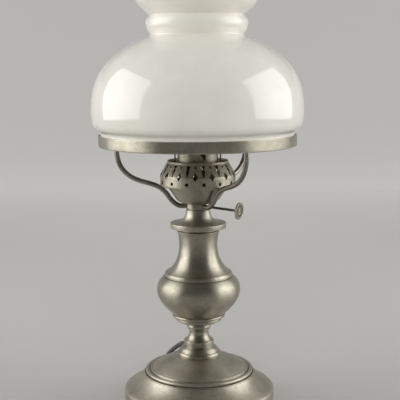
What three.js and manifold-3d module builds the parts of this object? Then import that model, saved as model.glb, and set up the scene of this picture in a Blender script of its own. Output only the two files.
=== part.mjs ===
// An electrified oil lamp: a domed pewter base, a turned stem and vase, a pierced burner gallery
// with three bent arms that carry an opal glass shade, a winder knob that works a rotary switch,
// a screw bulb and its holder, and a mains lead. Lengths are millimetres and +Z is up.
// The lamp stands on Z = 0 with its axis on X = Y = 0, and its front faces -Y.
import * as THREE from 'three';
import { mergeVertices } from 'three/addons/utils/BufferGeometryUtils.js';
import Module from 'manifold-3d';

const wasm = await Module();
wasm.setup();

// Clearances that pieces share
const seatGap = 0.3;
const runningGap = 0.35;
const cutOverrun = 2;

// Sides of the turned pieces
const fullTurn = 360;
const wideSides = 28;
const midSides = 24;
const neckSides = 20;
const slimSides = 16;
const wireSides = 8;

// Base, with the felt under it and the ballast inside it
const felt = { inset: 1.6, thick: 1.5 };
const base = {
  radius: 74.4, wallRise: 17.6, wall: 1.6, cornerRound: 1.8, shoulderRadius: 57, shoulderRise: 11.5,
  stepRise: 3.4, stepLean: 1.2, grooveWide: 2.3, beadRadius: 1.9, rimRise: 5.5, rimRadius: 47.8,
  topRadius: 20.8, height: 51.3,
};
const domeAcrossShare = 0.47;
const domeUpShare = 0.64;
const shoulderAcrossShare = 0.4;
const shoulderUpShare = 0.58;
const ballast = { clear: 4.8, thick: 12, pocketRadius: 16, pocketDeep: 6.5 };
const washer = { radius: 12, thick: 1.5 };
const lockNut = { acrossFlats: 14, thick: 3 };
const spacer = { radius: 8, wall: 2 };

// Threaded tube that draws the stack together, and the clear hole it has in every piece
const tube = { radius: 5, bore: 4, beyondNut: 0.6 };
const tubeHole = tube.radius + seatGap;

// Stem and vase
const foot = { height: 14, radius: 20.4, stepRadius: 17.3, bandRadius: 15.4, topRadius: 14.5 };
const footBulgeShare = 0.34;
const footStepShare = 0.68;
const neck = {
  height: 18.2, footRadius: 14.6, footBand: 1.4, waistRadius: 9.4, beadRadius: 11.9, beadEdge: 10.8,
};
const neckWaistShare = 0.44;
const neckBeadShare = 0.69;
const bowl = {
  height: 47.6, wall: 1.4, radius: 40.8, bottomRadius: 13.4, lowRingRadius: 22.2, highRingRadius: 25.9,
  seatRadius: 26.6, ringThick: 1.9, topRadius: 34.6, mouthWide: 4.6,
};
const bowlLiftShare = 0.067;
const bowlSeatShare = 0.227;
const bowlWideShare = 0.725;
const vase = {
  height: 48.1, wall: 1.5, bandRadius: 33.9, bandRise: 4.6, flareRadius: 31.8, waistRadius: 18.3,
  topRadius: 20.6, topWall: 3,
};
const vaseWaistShare = 0.655;
const cap = {
  height: 18.6, rimRadius: 27.1, rimRise: 5, rimRound: 0.8, flareRadius: 20, neckRadius: 11.8,
  neckWall: 1.1, web: 8.4,
};
const capFlareShare = 0.317;
const capCurlShare = 0.41;

// Burner: collar, funnel, pierced gallery, crown sleeve and its two clips
const collar = { height: 5.2, radius: 12, spigotWall: 0.8, spigotDeep: 4, round: 0.5 };
const funnel = { height: 17, radius: 29.8, wall: 1, turnRadius: 22 };
const funnelTurnShare = 0.32;
const gallery = {
  height: 25, wall: 1, bandRadius: 36.5, bandRound: 1.9, rimRadius: 29.4, rimRise: 1.9, deckDrop: 1.2,
};
const galleryBandShare = 0.452;
const piercing = {
  count: 14, turn: 9, headWide: 3.9, waistWide: 1.1, bodyWide: 3.2, holeWide: 2.9, dotWide: 2,
  diamondWide: 4.3, diamondHigh: 6.6, holeSides: 6,
};
const dartHeadShare = 0.864;
const dartWaistShare = 0.768;
const dartBodyShare = 0.68;
const dartPointShare = 0.444;
const holeRiseShare = 0.2;
const dotRiseShare = 0.824;
const diamondRiseShare = 0.48;
const sleeve = { radius: 19.6, wall: 0.8, height: 37, ventCount: 3, ventTurn: 13, ventWide: 5, ventHigh: 13 };
const ventRiseShare = 0.065;
const clip = { wide: 5, thick: 1.5, offset: 1.7, height: 35, sheet: 0.9, foot: 3 };

// Arms, shade ring and shade
const arm = { radius: 2.35, reach: 78.4, rise: 59.4, steps: 16 };
const armAzimuths = { left: 180, frontRight: -56, backRight: 51 };
const armReachShares = [
  0, 0.05, 0.105, 0.165, 0.222, 0.275, 0.34, 0.414, 0.543, 0.672, 0.801, 0.896, 0.958, 0.988, 1, 1,
];
const armRiseShares = [
  0, 0, 0.012, 0.052, 0.115, 0.202, 0.275, 0.33, 0.38, 0.421, 0.49, 0.58, 0.689, 0.808, 0.9, 1,
];
const ring = { radius: 95, wall: 1.2, height: 10.1, flangeRadius: 75.6, flangeThick: 1.2, round: 1.6 };
const shade = {
  wall: 3, lipGap: 0.5, lipRise: 10.6, turnOut: 4.1, turnRise: 3.6, wideRadius: 102, shoulderRadius: 46,
  collarRadius: 45.6, beadRadius: 48.9, throatRadius: 45.8, cupRadius: 58.9, rimRadius: 57.3, height: 153.2,
};
const shadeWideShare = 0.209;
const shadeShoulderShare = 0.668;
const shadeCollarShare = 0.684;
const shadeBeadShare = 0.738;
const shadeThroatShare = 0.789;
const shadeCupShare = 0.912;

// Winder knob, its shaft and the rotary switch that it turns
const winder = { azimuth: -30, droop: 2.8, shaftRadius: 1.2, reach: 45 };
const knob = {
  radius: 8.2, thick: 1.2, rimWide: 1.3, ringRadius: 5.2, ringWide: 0.9, relief: 0.45, hubRadius: 2.2,
  hubLength: 2.4, notches: 16, notchDeep: 0.35,
};
const rotary = { radius: 5.6, length: 12, neckRadius: 2.6, rotorRadius: 3, rotorLength: 8 };

// Lampholder and bulb
const nipple = { bore: 3.6 };
const holder = {
  radius: 18.2, baseHeight: 9, baseFloor: 2.5, wall: 1.6, coreHeight: 24, coreFloor: 5, spigot: 3,
};
const screwShell = { bore: 13.5, wall: 0.5, height: 18 };
const contact = { reach: 6, wide: 5, sheet: 0.6, rise: 2.4 };
const terminal = { radius: 2, offset: 9 };
const bulb = {
  capHeight: 22, capWall: 0.6, capTaper: 3.5, ridges: 4, ridgeDeep: 0.5, tipRadius: 5, tipHeight: 2,
  holeRadius: 2.3, sunk: 4, wideRadius: 27.5, height: 76, wall: 0.9,
};
const bulbWideShare = 0.62;
const bulbRoundShare = 0.55;

// Mains lead: bushing, free stretches, coil, tie and plug
const cord = { radius: 2.3, sides: 8, leadSteps: 14, tailSteps: 7 };
const bushing = { radius: 3.6, tipRadius: 3.1, wall: 0.8, length: 10.2, sunk: 6.5, azimuth: 128, droop: 14 };
const bushingRiseShare = 0.53;
const leadRadius = 1.6;
const coil = {
  centreX: 0, centreY: 111, innerRadius: 19.5, pitch: 5.05, startAngle: 165, turnsIn: 3.5, turnsOut: 3.375,
  loopSteps: 24, sides: 5, dip: 0.8,
};
const tie = { thick: 0.6, wide: 4, angle: 100 };
const plug = {
  rearX: 15.5, rearY: 91.6, heading: 180, wide: 32, thick: 12, length: 31, rearWide: 12, rearThick: 9,
  shoulder: 7, pinRadius: 2, pinLength: 17, pinSpacing: 18.6, pinSunk: 4,
};

// The mains lead from the bushing over the dome and down to the coil, and from the coil to the plug
const leadRoute = [
  [-14.65, 18.75, 58.1], [-18.24, 23.44, 55.81], [-21.49, 27.83, 52.53], [-24.45, 32.3, 49.1],
  [-26.86, 37.14, 45.75], [-29.01, 42.05, 42.33], [-31.05, 46.88, 38.72], [-32.91, 51.63, 34.91],
  [-34.61, 56.34, 30.99], [-36.09, 61.05, 26.97], [-37.42, 65.57, 22.69], [-38.57, 69.78, 18.06],
  [-39.52, 74, 13.39], [-40.36, 78.54, 9.01], [-41.11, 83.68, 5.36], [-41.62, 89.57, 3.07],
  [-41.57, 95.88, 2.41], [-40.8, 102.19, 2.4], [-39.2, 108.35, 2.42], [-37.54, 114.49, 2.73],
  [-36.03, 120.18, 3.2],
];
const tailRoute = [
  [31.87, 128.88, 8.25], [33.65, 125.8, 8.3], [35.65, 122.34, 8.5], [37.7, 117.4, 8.9],
  [38.4, 112.1, 9.6], [37.7, 106.8, 10.8], [35.65, 101.85, 12.3], [31.6, 96.87, 14.1],
  [26.24, 93.37, 15.6], [20.9, 91.8, 16.5], [15.8, 91.6, 16.85],
];

// Heights of the seats, from the floor up
const baseBottom = felt.thick;
const baseTop = baseBottom + base.height;
const footTop = baseTop + foot.height;
const neckTop = footTop + neck.height;
const bowlTop = neckTop + bowl.height;
const vaseBottom = bowlTop + seatGap;
const vaseTop = vaseBottom + vase.height;
const capWebTop = vaseTop + cap.web;
const capTop = vaseTop + cap.height;
const collarBottom = capTop + seatGap;
const collarMiddle = collarBottom + collar.height / 2;
const collarTop = collarBottom + collar.height;
const funnelTop = collarTop + funnel.height;
const galleryTop = funnelTop + gallery.height;
const deckTop = galleryTop - gallery.deckDrop;
const deckBottom = deckTop - gallery.wall;
const ringBottom = collarMiddle + arm.rise + seatGap;
const shadeBottom = ringBottom + ring.flangeThick + seatGap;
const pocketTop = baseBottom + ballast.pocketDeep;
const coreBottom = deckTop + holder.baseHeight;
const corePocket = coreBottom + holder.coreFloor;
const bulbCapBottom = corePocket + contact.rise + runningGap + bulb.tipHeight + seatGap;
const capBore = cap.neckRadius - cap.neckWall;
const spigotRadius = capBore - seatGap;
const collarBore = spigotRadius - collar.spigotWall;
const coilLow = cord.radius + tie.thick + seatGap;

const pewter = new THREE.MeshStandardMaterial({ color: 0x8d877a, roughness: 0.42, metalness: 0.9 });
const darkPewter = new THREE.MeshStandardMaterial({ color: 0x6f6a60, roughness: 0.5, metalness: 0.9 });
const opal = new THREE.MeshStandardMaterial({ color: 0xf3f1e8, roughness: 0.12, metalness: 0 });
const steel = new THREE.MeshStandardMaterial({ color: 0x9aa0a4, roughness: 0.35, metalness: 1 });
const iron = new THREE.MeshStandardMaterial({ color: 0x4a4a48, roughness: 0.7, metalness: 0.8 });
const brass = new THREE.MeshStandardMaterial({ color: 0xb8924a, roughness: 0.3, metalness: 1 });
const feltCloth = new THREE.MeshStandardMaterial({ color: 0x2d3a2f, roughness: 1, metalness: 0 });
const porcelain = new THREE.MeshStandardMaterial({ color: 0xeeeae0, roughness: 0.25, metalness: 0 });
const phenolic = new THREE.MeshStandardMaterial({ color: 0x2a2320, roughness: 0.45, metalness: 0 });
const bulbGlass = new THREE.MeshStandardMaterial({ color: 0xf7f5ee, roughness: 0.2, metalness: 0 });
const lampCord = new THREE.MeshStandardMaterial({ color: 0x3a3a3c, roughness: 0.55, metalness: 0 });

const mix = THREE.MathUtils.lerp;
const radians = THREE.MathUtils.degToRad;

// Points of an outline drawn with straight runs and curves, each curve in the given steps
function outline(steps, draw) {
  const path = new THREE.Path();
  draw(path);
  path.closePath();
  return path.getPoints(steps);
}

// Keeps positions only, merges shared corners, drops flat triangles and faces them outward
function closed(geometry) {
  geometry.deleteAttribute('normal');
  geometry.deleteAttribute('uv');
  const merged = mergeVertices(geometry);
  const corners = merged.getAttribute('position');
  const order = merged.getIndex().array;
  const point = (i) => new THREE.Vector3().fromBufferAttribute(corners, i);
  const kept = [];
  let volume = 0;
  for (let i = 0; i < order.length; i += 3) {
    const [a, b, c] = [order[i], order[i + 1], order[i + 2]];
    if (a === b || b === c || c === a) continue;
    kept.push(a, b, c);
    volume += point(a).dot(point(b).cross(point(c)));
  }
  if (volume < 0) kept.reverse();
  merged.setIndex(kept);
  return merged;
}

// A surface of revolution about Z from an outline of (radius, height) points
function turned(points, sides) {
  const lathe = new THREE.LatheGeometry(points, sides);
  const corners = lathe.getAttribute('position');
  for (let i = 0; i < corners.count; i += 1) {
    corners.setXYZ(i, corners.getX(i), -corners.getZ(i), corners.getY(i));
  }
  return closed(lathe);
}

// A plain ring or sleeve about Z, and a plain rod
function sleeveOf(outer, inner, low, high, sides) {
  return turned(outline(1, (path) => {
    path.moveTo(inner, low);
    path.lineTo(outer, low);
    path.lineTo(outer, high);
    path.lineTo(inner, high);
  }), sides);
}

function rodOf(radius, low, high, sides) {
  return sleeveOf(radius, 0, low, high, sides);
}

// A flat shape given depth along Z
function prism(shape, low, high) {
  const geometry = new THREE.ExtrudeGeometry(shape, { depth: high - low, bevelEnabled: false });
  return closed(geometry.translate(0, 0, low));
}

function polygon(points) {
  return new THREE.Shape(points.map(([x, y]) => new THREE.Vector2(x, y)));
}

function disc(radius, sides) {
  const points = [];
  for (let i = 0; i < sides; i += 1) {
    const angle = (2 * Math.PI * i) / sides;
    points.push([radius * Math.cos(angle), radius * Math.sin(angle)]);
  }
  return polygon(points);
}

// A round bar along a smooth route
function barAlong(points, radius, sides, steps) {
  const places = points.map(([x, y, z]) => new THREE.Vector3(x, y, z));
  const extrudePath = new THREE.CatmullRomCurve3(places, false, 'centripetal');
  return closed(new THREE.ExtrudeGeometry(disc(radius, sides), { steps, bevelEnabled: false, extrudePath }));
}

function solid(geometry) {
  const vertProperties = Float32Array.from(geometry.getAttribute('position').array);
  const triVerts = Uint32Array.from(geometry.getIndex().array);
  return new wasm.Manifold(new wasm.Mesh({ numProp: 3, vertProperties, triVerts }));
}

function geometryOf(body) {
  const mesh = body.getMesh();
  const geometry = new THREE.BufferGeometry();
  geometry.setAttribute('position', new THREE.BufferAttribute(Float32Array.from(mesh.vertProperties), 3));
  geometry.setIndex(new THREE.BufferAttribute(Uint32Array.from(mesh.triVerts), 1));
  return geometry;
}

function cut(geometry, cutters) {
  const left = cutters.reduce((body, cutter) => body.subtract(solid(cutter)), solid(geometry));
  return geometryOf(left.asOriginal().simplify());
}

function joined(parts) {
  const whole = parts.slice(1).reduce((body, part) => body.add(solid(part)), solid(parts[0]));
  return geometryOf(whole.asOriginal().simplify());
}

function shared(first, second) {
  return geometryOf(solid(first).intersect(solid(second)));
}

function piece(name, geometry, finish) {
  geometry.computeVertexNormals();
  const mesh = new THREE.Mesh(geometry, finish);
  mesh.name = name;
  return mesh;
}

function grouped(...members) {
  const group = new THREE.Group();
  group.add(...members);
  return group;
}

// Turns +Z of a geometry or a group to point outward at an azimuth, drooping below level
function outwardTurn(azimuth, droop) {
  const level = new THREE.Matrix4().makeRotationY(radians(90 + droop));
  return new THREE.Matrix4().makeRotationZ(radians(azimuth)).multiply(level);
}

// Turns a shape drawn across (x) and up (y) to face outward at an azimuth, from the front toward +X
function facing(geometry, turn) {
  return geometry.rotateX(radians(90)).rotateZ(radians(turn));
}

function hexNut(nut, bore, low) {
  const corner = nut.acrossFlats / Math.sqrt(3);
  return cut(prism(disc(corner, 6), low, low + nut.thick), [
    rodOf(bore, low - cutOverrun, low + nut.thick + cutOverrun, slimSides),
  ]);
}

function baseShell() {
  const wallTop = baseBottom + base.wallRise;
  const shoulderBottom = wallTop + base.cornerRound;
  const shoulderIn = base.radius - base.cornerRound;
  const shoulderTop = shoulderBottom + base.shoulderRise;
  const stepTop = shoulderTop + base.stepRise;
  const stepRadius = base.shoulderRadius - base.stepLean;
  const beadCentre = stepRadius - base.grooveWide - base.beadRadius;
  const rimTop = stepTop + base.rimRise;
  const shell = outline(3, (path) => {
    path.moveTo(base.radius, baseBottom);
    path.lineTo(base.radius, wallTop);
    path.quadraticCurveTo(base.radius, shoulderBottom, shoulderIn, shoulderBottom);
    path.quadraticCurveTo(
      mix(shoulderIn, base.shoulderRadius, shoulderAcrossShare),
      mix(shoulderBottom, shoulderTop, shoulderUpShare),
      base.shoulderRadius, shoulderTop,
    );
    path.lineTo(stepRadius, stepTop);
    path.lineTo(stepRadius - base.grooveWide, stepTop);
    path.absarc(beadCentre, stepTop, base.beadRadius, 0, Math.PI, false);
    path.lineTo(base.rimRadius + seatGap, rimTop - base.beadRadius);
    path.lineTo(base.rimRadius, rimTop);
    path.quadraticCurveTo(
      mix(base.rimRadius, base.topRadius, domeAcrossShare), mix(rimTop, baseTop, domeUpShare),
      base.topRadius, baseTop,
    );
    path.lineTo(tubeHole, baseTop);
    path.lineTo(tubeHole, baseTop - base.wall);
    path.lineTo(base.topRadius, baseTop - base.wall);
    path.lineTo(base.rimRadius - base.wall, rimTop - 2 * base.wall);
    path.lineTo(base.shoulderRadius - 2 * base.wall, shoulderTop);
    path.lineTo(shoulderIn - base.wall, shoulderBottom - base.wall);
    path.lineTo(base.radius - base.wall, wallTop - base.wall);
    path.lineTo(base.radius - base.wall, baseBottom);
  });
  return turned(shell, wideSides);
}

function ballastDisc() {
  const top = baseBottom + ballast.thick;
  const radius = base.radius - base.wall - ballast.clear;
  return turned(outline(1, (path) => {
    path.moveTo(ballast.pocketRadius, baseBottom);
    path.lineTo(radius, baseBottom);
    path.lineTo(radius, top);
    path.lineTo(tubeHole, top);
    path.lineTo(tubeHole, pocketTop);
    path.lineTo(ballast.pocketRadius, pocketTop);
  }), wideSides);
}

// Where the bushing's line crosses the tube axis, and the route's turn
const bushingTurn = outwardTurn(bushing.azimuth, bushing.droop);
const bushingInner = foot.radius - bushing.sunk;
const bushingFall = bushingInner * Math.tan(radians(bushing.droop));
const bushingHeight = baseTop + foot.height * bushingRiseShare + bushingFall;

function alongBushing(geometry) {
  return geometry.applyMatrix4(bushingTurn).translate(0, 0, bushingHeight);
}

function stemFoot() {
  const stepHeight = baseTop + foot.height * footStepShare;
  const bandDrop = foot.stepRadius - foot.bandRadius;
  const body = turned(outline(4, (path) => {
    path.moveTo(tubeHole, baseTop);
    path.lineTo(foot.radius - seatGap, baseTop);
    path.quadraticCurveTo(
      foot.radius + seatGap, baseTop + foot.height * footBulgeShare, foot.stepRadius, stepHeight,
    );
    path.lineTo(foot.bandRadius, stepHeight + bandDrop / 4);
    path.lineTo(foot.topRadius, footTop - bandDrop);
    path.lineTo(foot.topRadius, footTop);
    path.lineTo(tubeHole, footTop);
  }), midSides);
  const pocketDepth = bushingInner - seatGap;
  const pocket = rodOf(bushing.radius + seatGap, pocketDepth, foot.radius + cutOverrun, slimSides);
  const leadHole = rodOf(leadRadius + seatGap, 0, foot.radius, wireSides);
  return cut(body, [alongBushing(pocket), alongBushing(leadHole)]);
}

function stemNeck() {
  const bandTop = footTop + neck.footBand;
  const waist = footTop + neck.height * neckWaistShare;
  const bead = footTop + neck.height * neckBeadShare;
  return turned(outline(3, (path) => {
    path.moveTo(tubeHole, footTop);
    path.lineTo(neck.footRadius, footTop);
    path.lineTo(neck.footRadius, bandTop);
    path.quadraticCurveTo(neck.waistRadius, bandTop, neck.waistRadius, waist);
    path.quadraticCurveTo(neck.waistRadius, mix(waist, bead, 0.6), neck.beadEdge, bead);
    path.quadraticCurveTo(
      2 * neck.beadRadius - neck.beadEdge, mix(bead, neckTop, 0.5), neck.beadEdge, neckTop,
    );
    path.lineTo(tubeHole, neckTop);
  }), neckSides);
}

function vaseBowl() {
  const lift = neckTop + bowl.height * bowlLiftShare;
  const seat = neckTop + bowl.height * bowlSeatShare;
  const wide = neckTop + bowl.height * bowlWideShare;
  const lowRing = lift + bowl.ringThick;
  const highRing = seat - bowl.ringThick;
  const mouth = bowl.topRadius - bowl.mouthWide;
  const floor = lift + bowl.wall;
  return turned(outline(3, (path) => {
    path.moveTo(tubeHole, neckTop);
    path.lineTo(bowl.bottomRadius, neckTop);
    path.lineTo(bowl.lowRingRadius - seatGap, lift);
    path.lineTo(bowl.lowRingRadius, lowRing);
    path.lineTo(bowl.lowRingRadius, mix(lowRing, highRing, 0.5));
    path.lineTo(bowl.highRingRadius - seatGap, highRing - bowl.ringThick / 2);
    path.lineTo(bowl.highRingRadius, highRing);
    path.lineTo(bowl.highRingRadius, mix(highRing, seat, 0.5));
    path.lineTo(bowl.seatRadius, seat);
    path.bezierCurveTo(
      mix(bowl.seatRadius, bowl.radius, 0.5), mix(seat, wide, 0.24), bowl.radius, mix(seat, wide, 0.6),
      bowl.radius, wide,
    );
    path.bezierCurveTo(
      bowl.radius, mix(wide, bowlTop, 0.46), mix(bowl.radius, bowl.topRadius, 0.35), mix(wide, bowlTop, 0.75),
      bowl.topRadius, bowlTop,
    );
    path.lineTo(mouth, bowlTop);
    path.lineTo(mouth, bowlTop - bowl.wall);
    path.lineTo(bowl.topRadius - bowl.wall, bowlTop - bowl.wall);
    path.lineTo(bowl.radius - bowl.wall, mix(bowlTop, wide, 0.7));
    path.lineTo(bowl.radius - bowl.wall, wide);
    path.lineTo(mix(bowl.seatRadius, bowl.radius, 0.7) - bowl.wall, mix(seat, wide, 0.45));
    path.lineTo(bowl.seatRadius - bowl.wall, seat + bowl.wall);
    path.lineTo(bowl.lowRingRadius - bowl.wall, mix(floor, seat, 0.5));
    path.lineTo(bowl.bottomRadius, floor - bowl.wall / 2);
    path.lineTo(tubeHole, floor - bowl.wall / 2);
  }), wideSides);
}

function vaseNeck() {
  const bandTop = vaseBottom + vase.bandRise;
  const waist = vaseBottom + vase.height * vaseWaistShare;
  const mouth = bowl.topRadius - bowl.mouthWide;
  const inner = vase.waistRadius - vase.wall;
  return turned(outline(3, (path) => {
    path.moveTo(mouth, vaseBottom);
    path.lineTo(vase.bandRadius, vaseBottom);
    path.lineTo(mix(vase.bandRadius, vase.flareRadius, 0.3), mix(vaseBottom, bandTop, 0.8));
    path.lineTo(vase.flareRadius, bandTop);
    path.bezierCurveTo(
      mix(vase.flareRadius, vase.waistRadius, 0.62), mix(bandTop, waist, 0.19), vase.waistRadius,
      mix(bandTop, waist, 0.55), vase.waistRadius, waist,
    );
    path.quadraticCurveTo(vase.waistRadius, mix(waist, vaseTop, 0.5), vase.topRadius, vaseTop);
    path.lineTo(tubeHole, vaseTop);
    path.lineTo(tubeHole, vaseTop - vase.topWall);
    path.lineTo(inner, vaseTop - vase.topWall);
    path.lineTo(inner, waist);
    path.lineTo(mix(mouth, inner, 0.9), mix(bandTop, waist, 0.45));
    path.lineTo(mix(mouth, inner, 0.45), mix(bandTop, waist, 0.05));
    path.lineTo(mouth, mix(vaseBottom, bandTop, 0.5));
  }), midSides);
}

function vaseCap() {
  const rimTop = vaseTop + cap.rimRise;
  const flare = vaseTop + cap.height * capFlareShare;
  return turned(outline(4, (path) => {
    path.moveTo(tubeHole, vaseTop);
    path.lineTo(cap.rimRadius - cap.rimRound, vaseTop);
    path.lineTo(cap.rimRadius, vaseTop + cap.rimRound);
    path.lineTo(cap.rimRadius, rimTop - cap.rimRound);
    path.lineTo(cap.rimRadius - cap.rimRound, rimTop);
    path.lineTo(cap.flareRadius, flare);
    path.quadraticCurveTo(
      mix(cap.neckRadius, cap.flareRadius, 0.07), vaseTop + cap.height * capCurlShare, cap.neckRadius, capTop,
    );
    path.lineTo(capBore, capTop);
    path.lineTo(capBore, capWebTop);
    path.lineTo(tubeHole, capWebTop);
  }), midSides);
}

// The threaded tube, with a side hole where the leads come in
function stemTube() {
  const low = pocketTop - washer.thick - lockNut.thick - tube.beyondNut;
  const high = capWebTop + lockNut.thick + tube.beyondNut;
  const sideHole = rodOf(leadRadius + seatGap, 0, tube.radius + cutOverrun, wireSides);
  return cut(sleeveOf(tube.radius, tube.bore, low, high, slimSides), [alongBushing(sideHole)]);
}

// The winder's line: from the lamp's axis outward through the collar wall
const winderTurn = outwardTurn(winder.azimuth, winder.droop);

function alongWinder(geometry) {
  return geometry.applyMatrix4(winderTurn).translate(0, 0, collarMiddle);
}

function armCollar() {
  const body = turned(outline(1, (path) => {
    path.moveTo(collarBore, collarBottom - collar.spigotDeep);
    path.lineTo(spigotRadius, collarBottom - collar.spigotDeep);
    path.lineTo(spigotRadius, collarBottom);
    path.lineTo(collar.radius - collar.round, collarBottom);
    path.lineTo(collar.radius, collarBottom + collar.round);
    path.lineTo(collar.radius, collarTop - collar.round);
    path.lineTo(collar.radius - collar.round, collarTop);
    path.lineTo(collarBore, collarTop);
  }), midSides);
  const shaftHole = rodOf(winder.shaftRadius + runningGap, 0, collar.radius + cutOverrun, wireSides);
  return cut(body, [alongWinder(shaftHole)]);
}

function burnerFunnel() {
  const turnHeight = collarTop + funnel.height * funnelTurnShare;
  const inner = funnel.turnRadius - funnel.wall;
  return turned(outline(3, (path) => {
    path.moveTo(collarBore, collarTop);
    path.lineTo(collar.radius, collarTop);
    path.quadraticCurveTo(
      mix(collar.radius, funnel.turnRadius, 0.65), collarTop, funnel.turnRadius, turnHeight,
    );
    path.lineTo(funnel.radius, funnelTop);
    path.lineTo(funnel.radius - funnel.wall, funnelTop);
    path.lineTo(inner, turnHeight + funnel.wall);
    path.quadraticCurveTo(
      mix(collar.radius, inner, 0.6), collarTop + funnel.wall, collarBore, collarTop + funnel.wall,
    );
  }), midSides);
}

function galleryShell() {
  const bandTop = funnelTop + gallery.height * galleryBandShare;
  const rimInner = gallery.rimRadius - gallery.wall;
  const bandInner = gallery.bandRadius - gallery.wall;
  const shell = turned(outline(2, (path) => {
    path.moveTo(funnel.radius - funnel.wall, funnelTop);
    path.lineTo(gallery.bandRadius - gallery.bandRound, funnelTop);
    path.quadraticCurveTo(gallery.bandRadius, funnelTop, gallery.bandRadius, funnelTop + gallery.bandRound);
    path.lineTo(gallery.bandRadius, bandTop);
    path.lineTo(gallery.rimRadius + gallery.wall / 3, galleryTop - gallery.rimRise);
    path.lineTo(gallery.rimRadius, galleryTop);
    path.lineTo(rimInner, galleryTop);
    path.lineTo(rimInner, deckTop);
    path.lineTo(tubeHole, deckTop);
    path.lineTo(tubeHole, deckBottom);
    path.lineTo(rimInner - gallery.wall / 2, deckBottom);
    path.lineTo(bandInner, bandTop - gallery.wall / 3);
    path.lineTo(bandInner, funnelTop + gallery.bandRound);
    path.lineTo(gallery.bandRadius - gallery.bandRound, funnelTop + gallery.wall);
    path.lineTo(funnel.radius - funnel.wall, funnelTop + gallery.wall);
  }), 2 * piercing.count);
  return cut(shell.rotateZ(radians(piercing.turn - fullTurn / 4 / piercing.count)), galleryCutters());
}

// Darts and round holes on one set of lines, dots and diamonds halfway between them
function galleryCutters() {
  const rise = (share) => funnelTop + gallery.height * share;
  const near = gallery.rimRadius - 2 * cutOverrun;
  const far = gallery.bandRadius + cutOverrun;
  const dart = polygon([
    [-piercing.headWide / 2, rise(dartHeadShare)], [-piercing.waistWide / 2, rise(dartWaistShare)],
    [-piercing.bodyWide / 2, rise(dartBodyShare)], [0, rise(dartPointShare)],
    [piercing.bodyWide / 2, rise(dartBodyShare)], [piercing.waistWide / 2, rise(dartWaistShare)],
    [piercing.headWide / 2, rise(dartHeadShare)],
  ]);
  const lozenge = (wide, high, middle) => polygon([
    [-wide / 2, middle], [0, middle - high / 2], [wide / 2, middle], [0, middle + high / 2],
  ]);
  const diamond = lozenge(piercing.diamondWide, piercing.diamondHigh, rise(diamondRiseShare));
  const dot = lozenge(piercing.dotWide, piercing.dotWide, rise(dotRiseShare));
  const hole = disc(piercing.holeWide / 2, piercing.holeSides);
  const through = (shape, turn, lift) => facing(prism(shape, near, far).translate(0, lift, 0), turn);
  const cutters = [];
  for (let i = 0; i < piercing.count; i += 1) {
    const turn = piercing.turn + (fullTurn * i) / piercing.count;
    const between = turn + fullTurn / 2 / piercing.count;
    cutters.push(through(dart, turn, 0), through(hole, turn, rise(holeRiseShare)));
    cutters.push(through(diamond, between, 0), through(dot, between, 0));
  }
  return cutters;
}

function crownSleeve() {
  const low = deckTop + sleeve.height * ventRiseShare;
  const vent = polygon([
    [sleeve.ventWide / 2, low], [sleeve.ventWide / 2, low + sleeve.ventHigh],
    [-sleeve.ventWide / 2, low + sleeve.ventHigh / 2],
  ]);
  const cutters = [];
  for (let i = 0; i < sleeve.ventCount; i += 1) {
    const turn = sleeve.ventTurn + (fullTurn * i) / sleeve.ventCount;
    cutters.push(facing(prism(vent, sleeve.radius / 2, sleeve.radius + cutOverrun), turn));
  }
  const top = deckTop + sleeve.height;
  const body = sleeveOf(sleeve.radius, sleeve.radius - sleeve.wall, deckTop, top, midSides);
  return cut(body, cutters);
}

// A strip that stands on the gallery deck beside the sleeve and hooks in toward it
function sleeveClip(azimuth) {
  const near = sleeve.radius + clip.offset;
  const far = near + clip.thick;
  const top = deckTop + clip.height;
  const side = polygon([
    [near, deckTop], [far + clip.foot, deckTop], [far + clip.foot, deckTop + clip.sheet],
    [far, deckTop + clip.sheet], [far, top], [sleeve.radius + seatGap, top],
    [sleeve.radius + seatGap, top - clip.sheet], [near, top - clip.sheet],
  ]);
  return prism(side, -clip.wide / 2, clip.wide / 2).rotateX(radians(90)).rotateZ(radians(azimuth));
}

// A bent wire from the collar, out under the gallery and up to the underside of the ring
function bentArm(azimuth) {
  const start = collar.radius + seatGap;
  const route = armReachShares.map((share, i) => {
    const reach = mix(start, arm.reach, share);
    const height = collarMiddle + arm.rise * armRiseShares[i];
    return [reach * Math.cos(radians(azimuth)), reach * Math.sin(radians(azimuth)), height];
  });
  return barAlong(route, arm.radius, wireSides, arm.steps);
}

function shadeRing() {
  const top = ringBottom + ring.height;
  return turned(outline(2, (path) => {
    path.moveTo(ring.flangeRadius, ringBottom);
    path.lineTo(ring.radius - ring.round, ringBottom);
    path.quadraticCurveTo(ring.radius, ringBottom, ring.radius, ringBottom + ring.round);
    path.lineTo(ring.radius, top);
    path.lineTo(ring.radius - ring.wall, top);
    path.lineTo(ring.radius - ring.wall, ringBottom + ring.flangeThick);
    path.lineTo(ring.flangeRadius, ringBottom + ring.flangeThick);
  }), wideSides);
}

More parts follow.
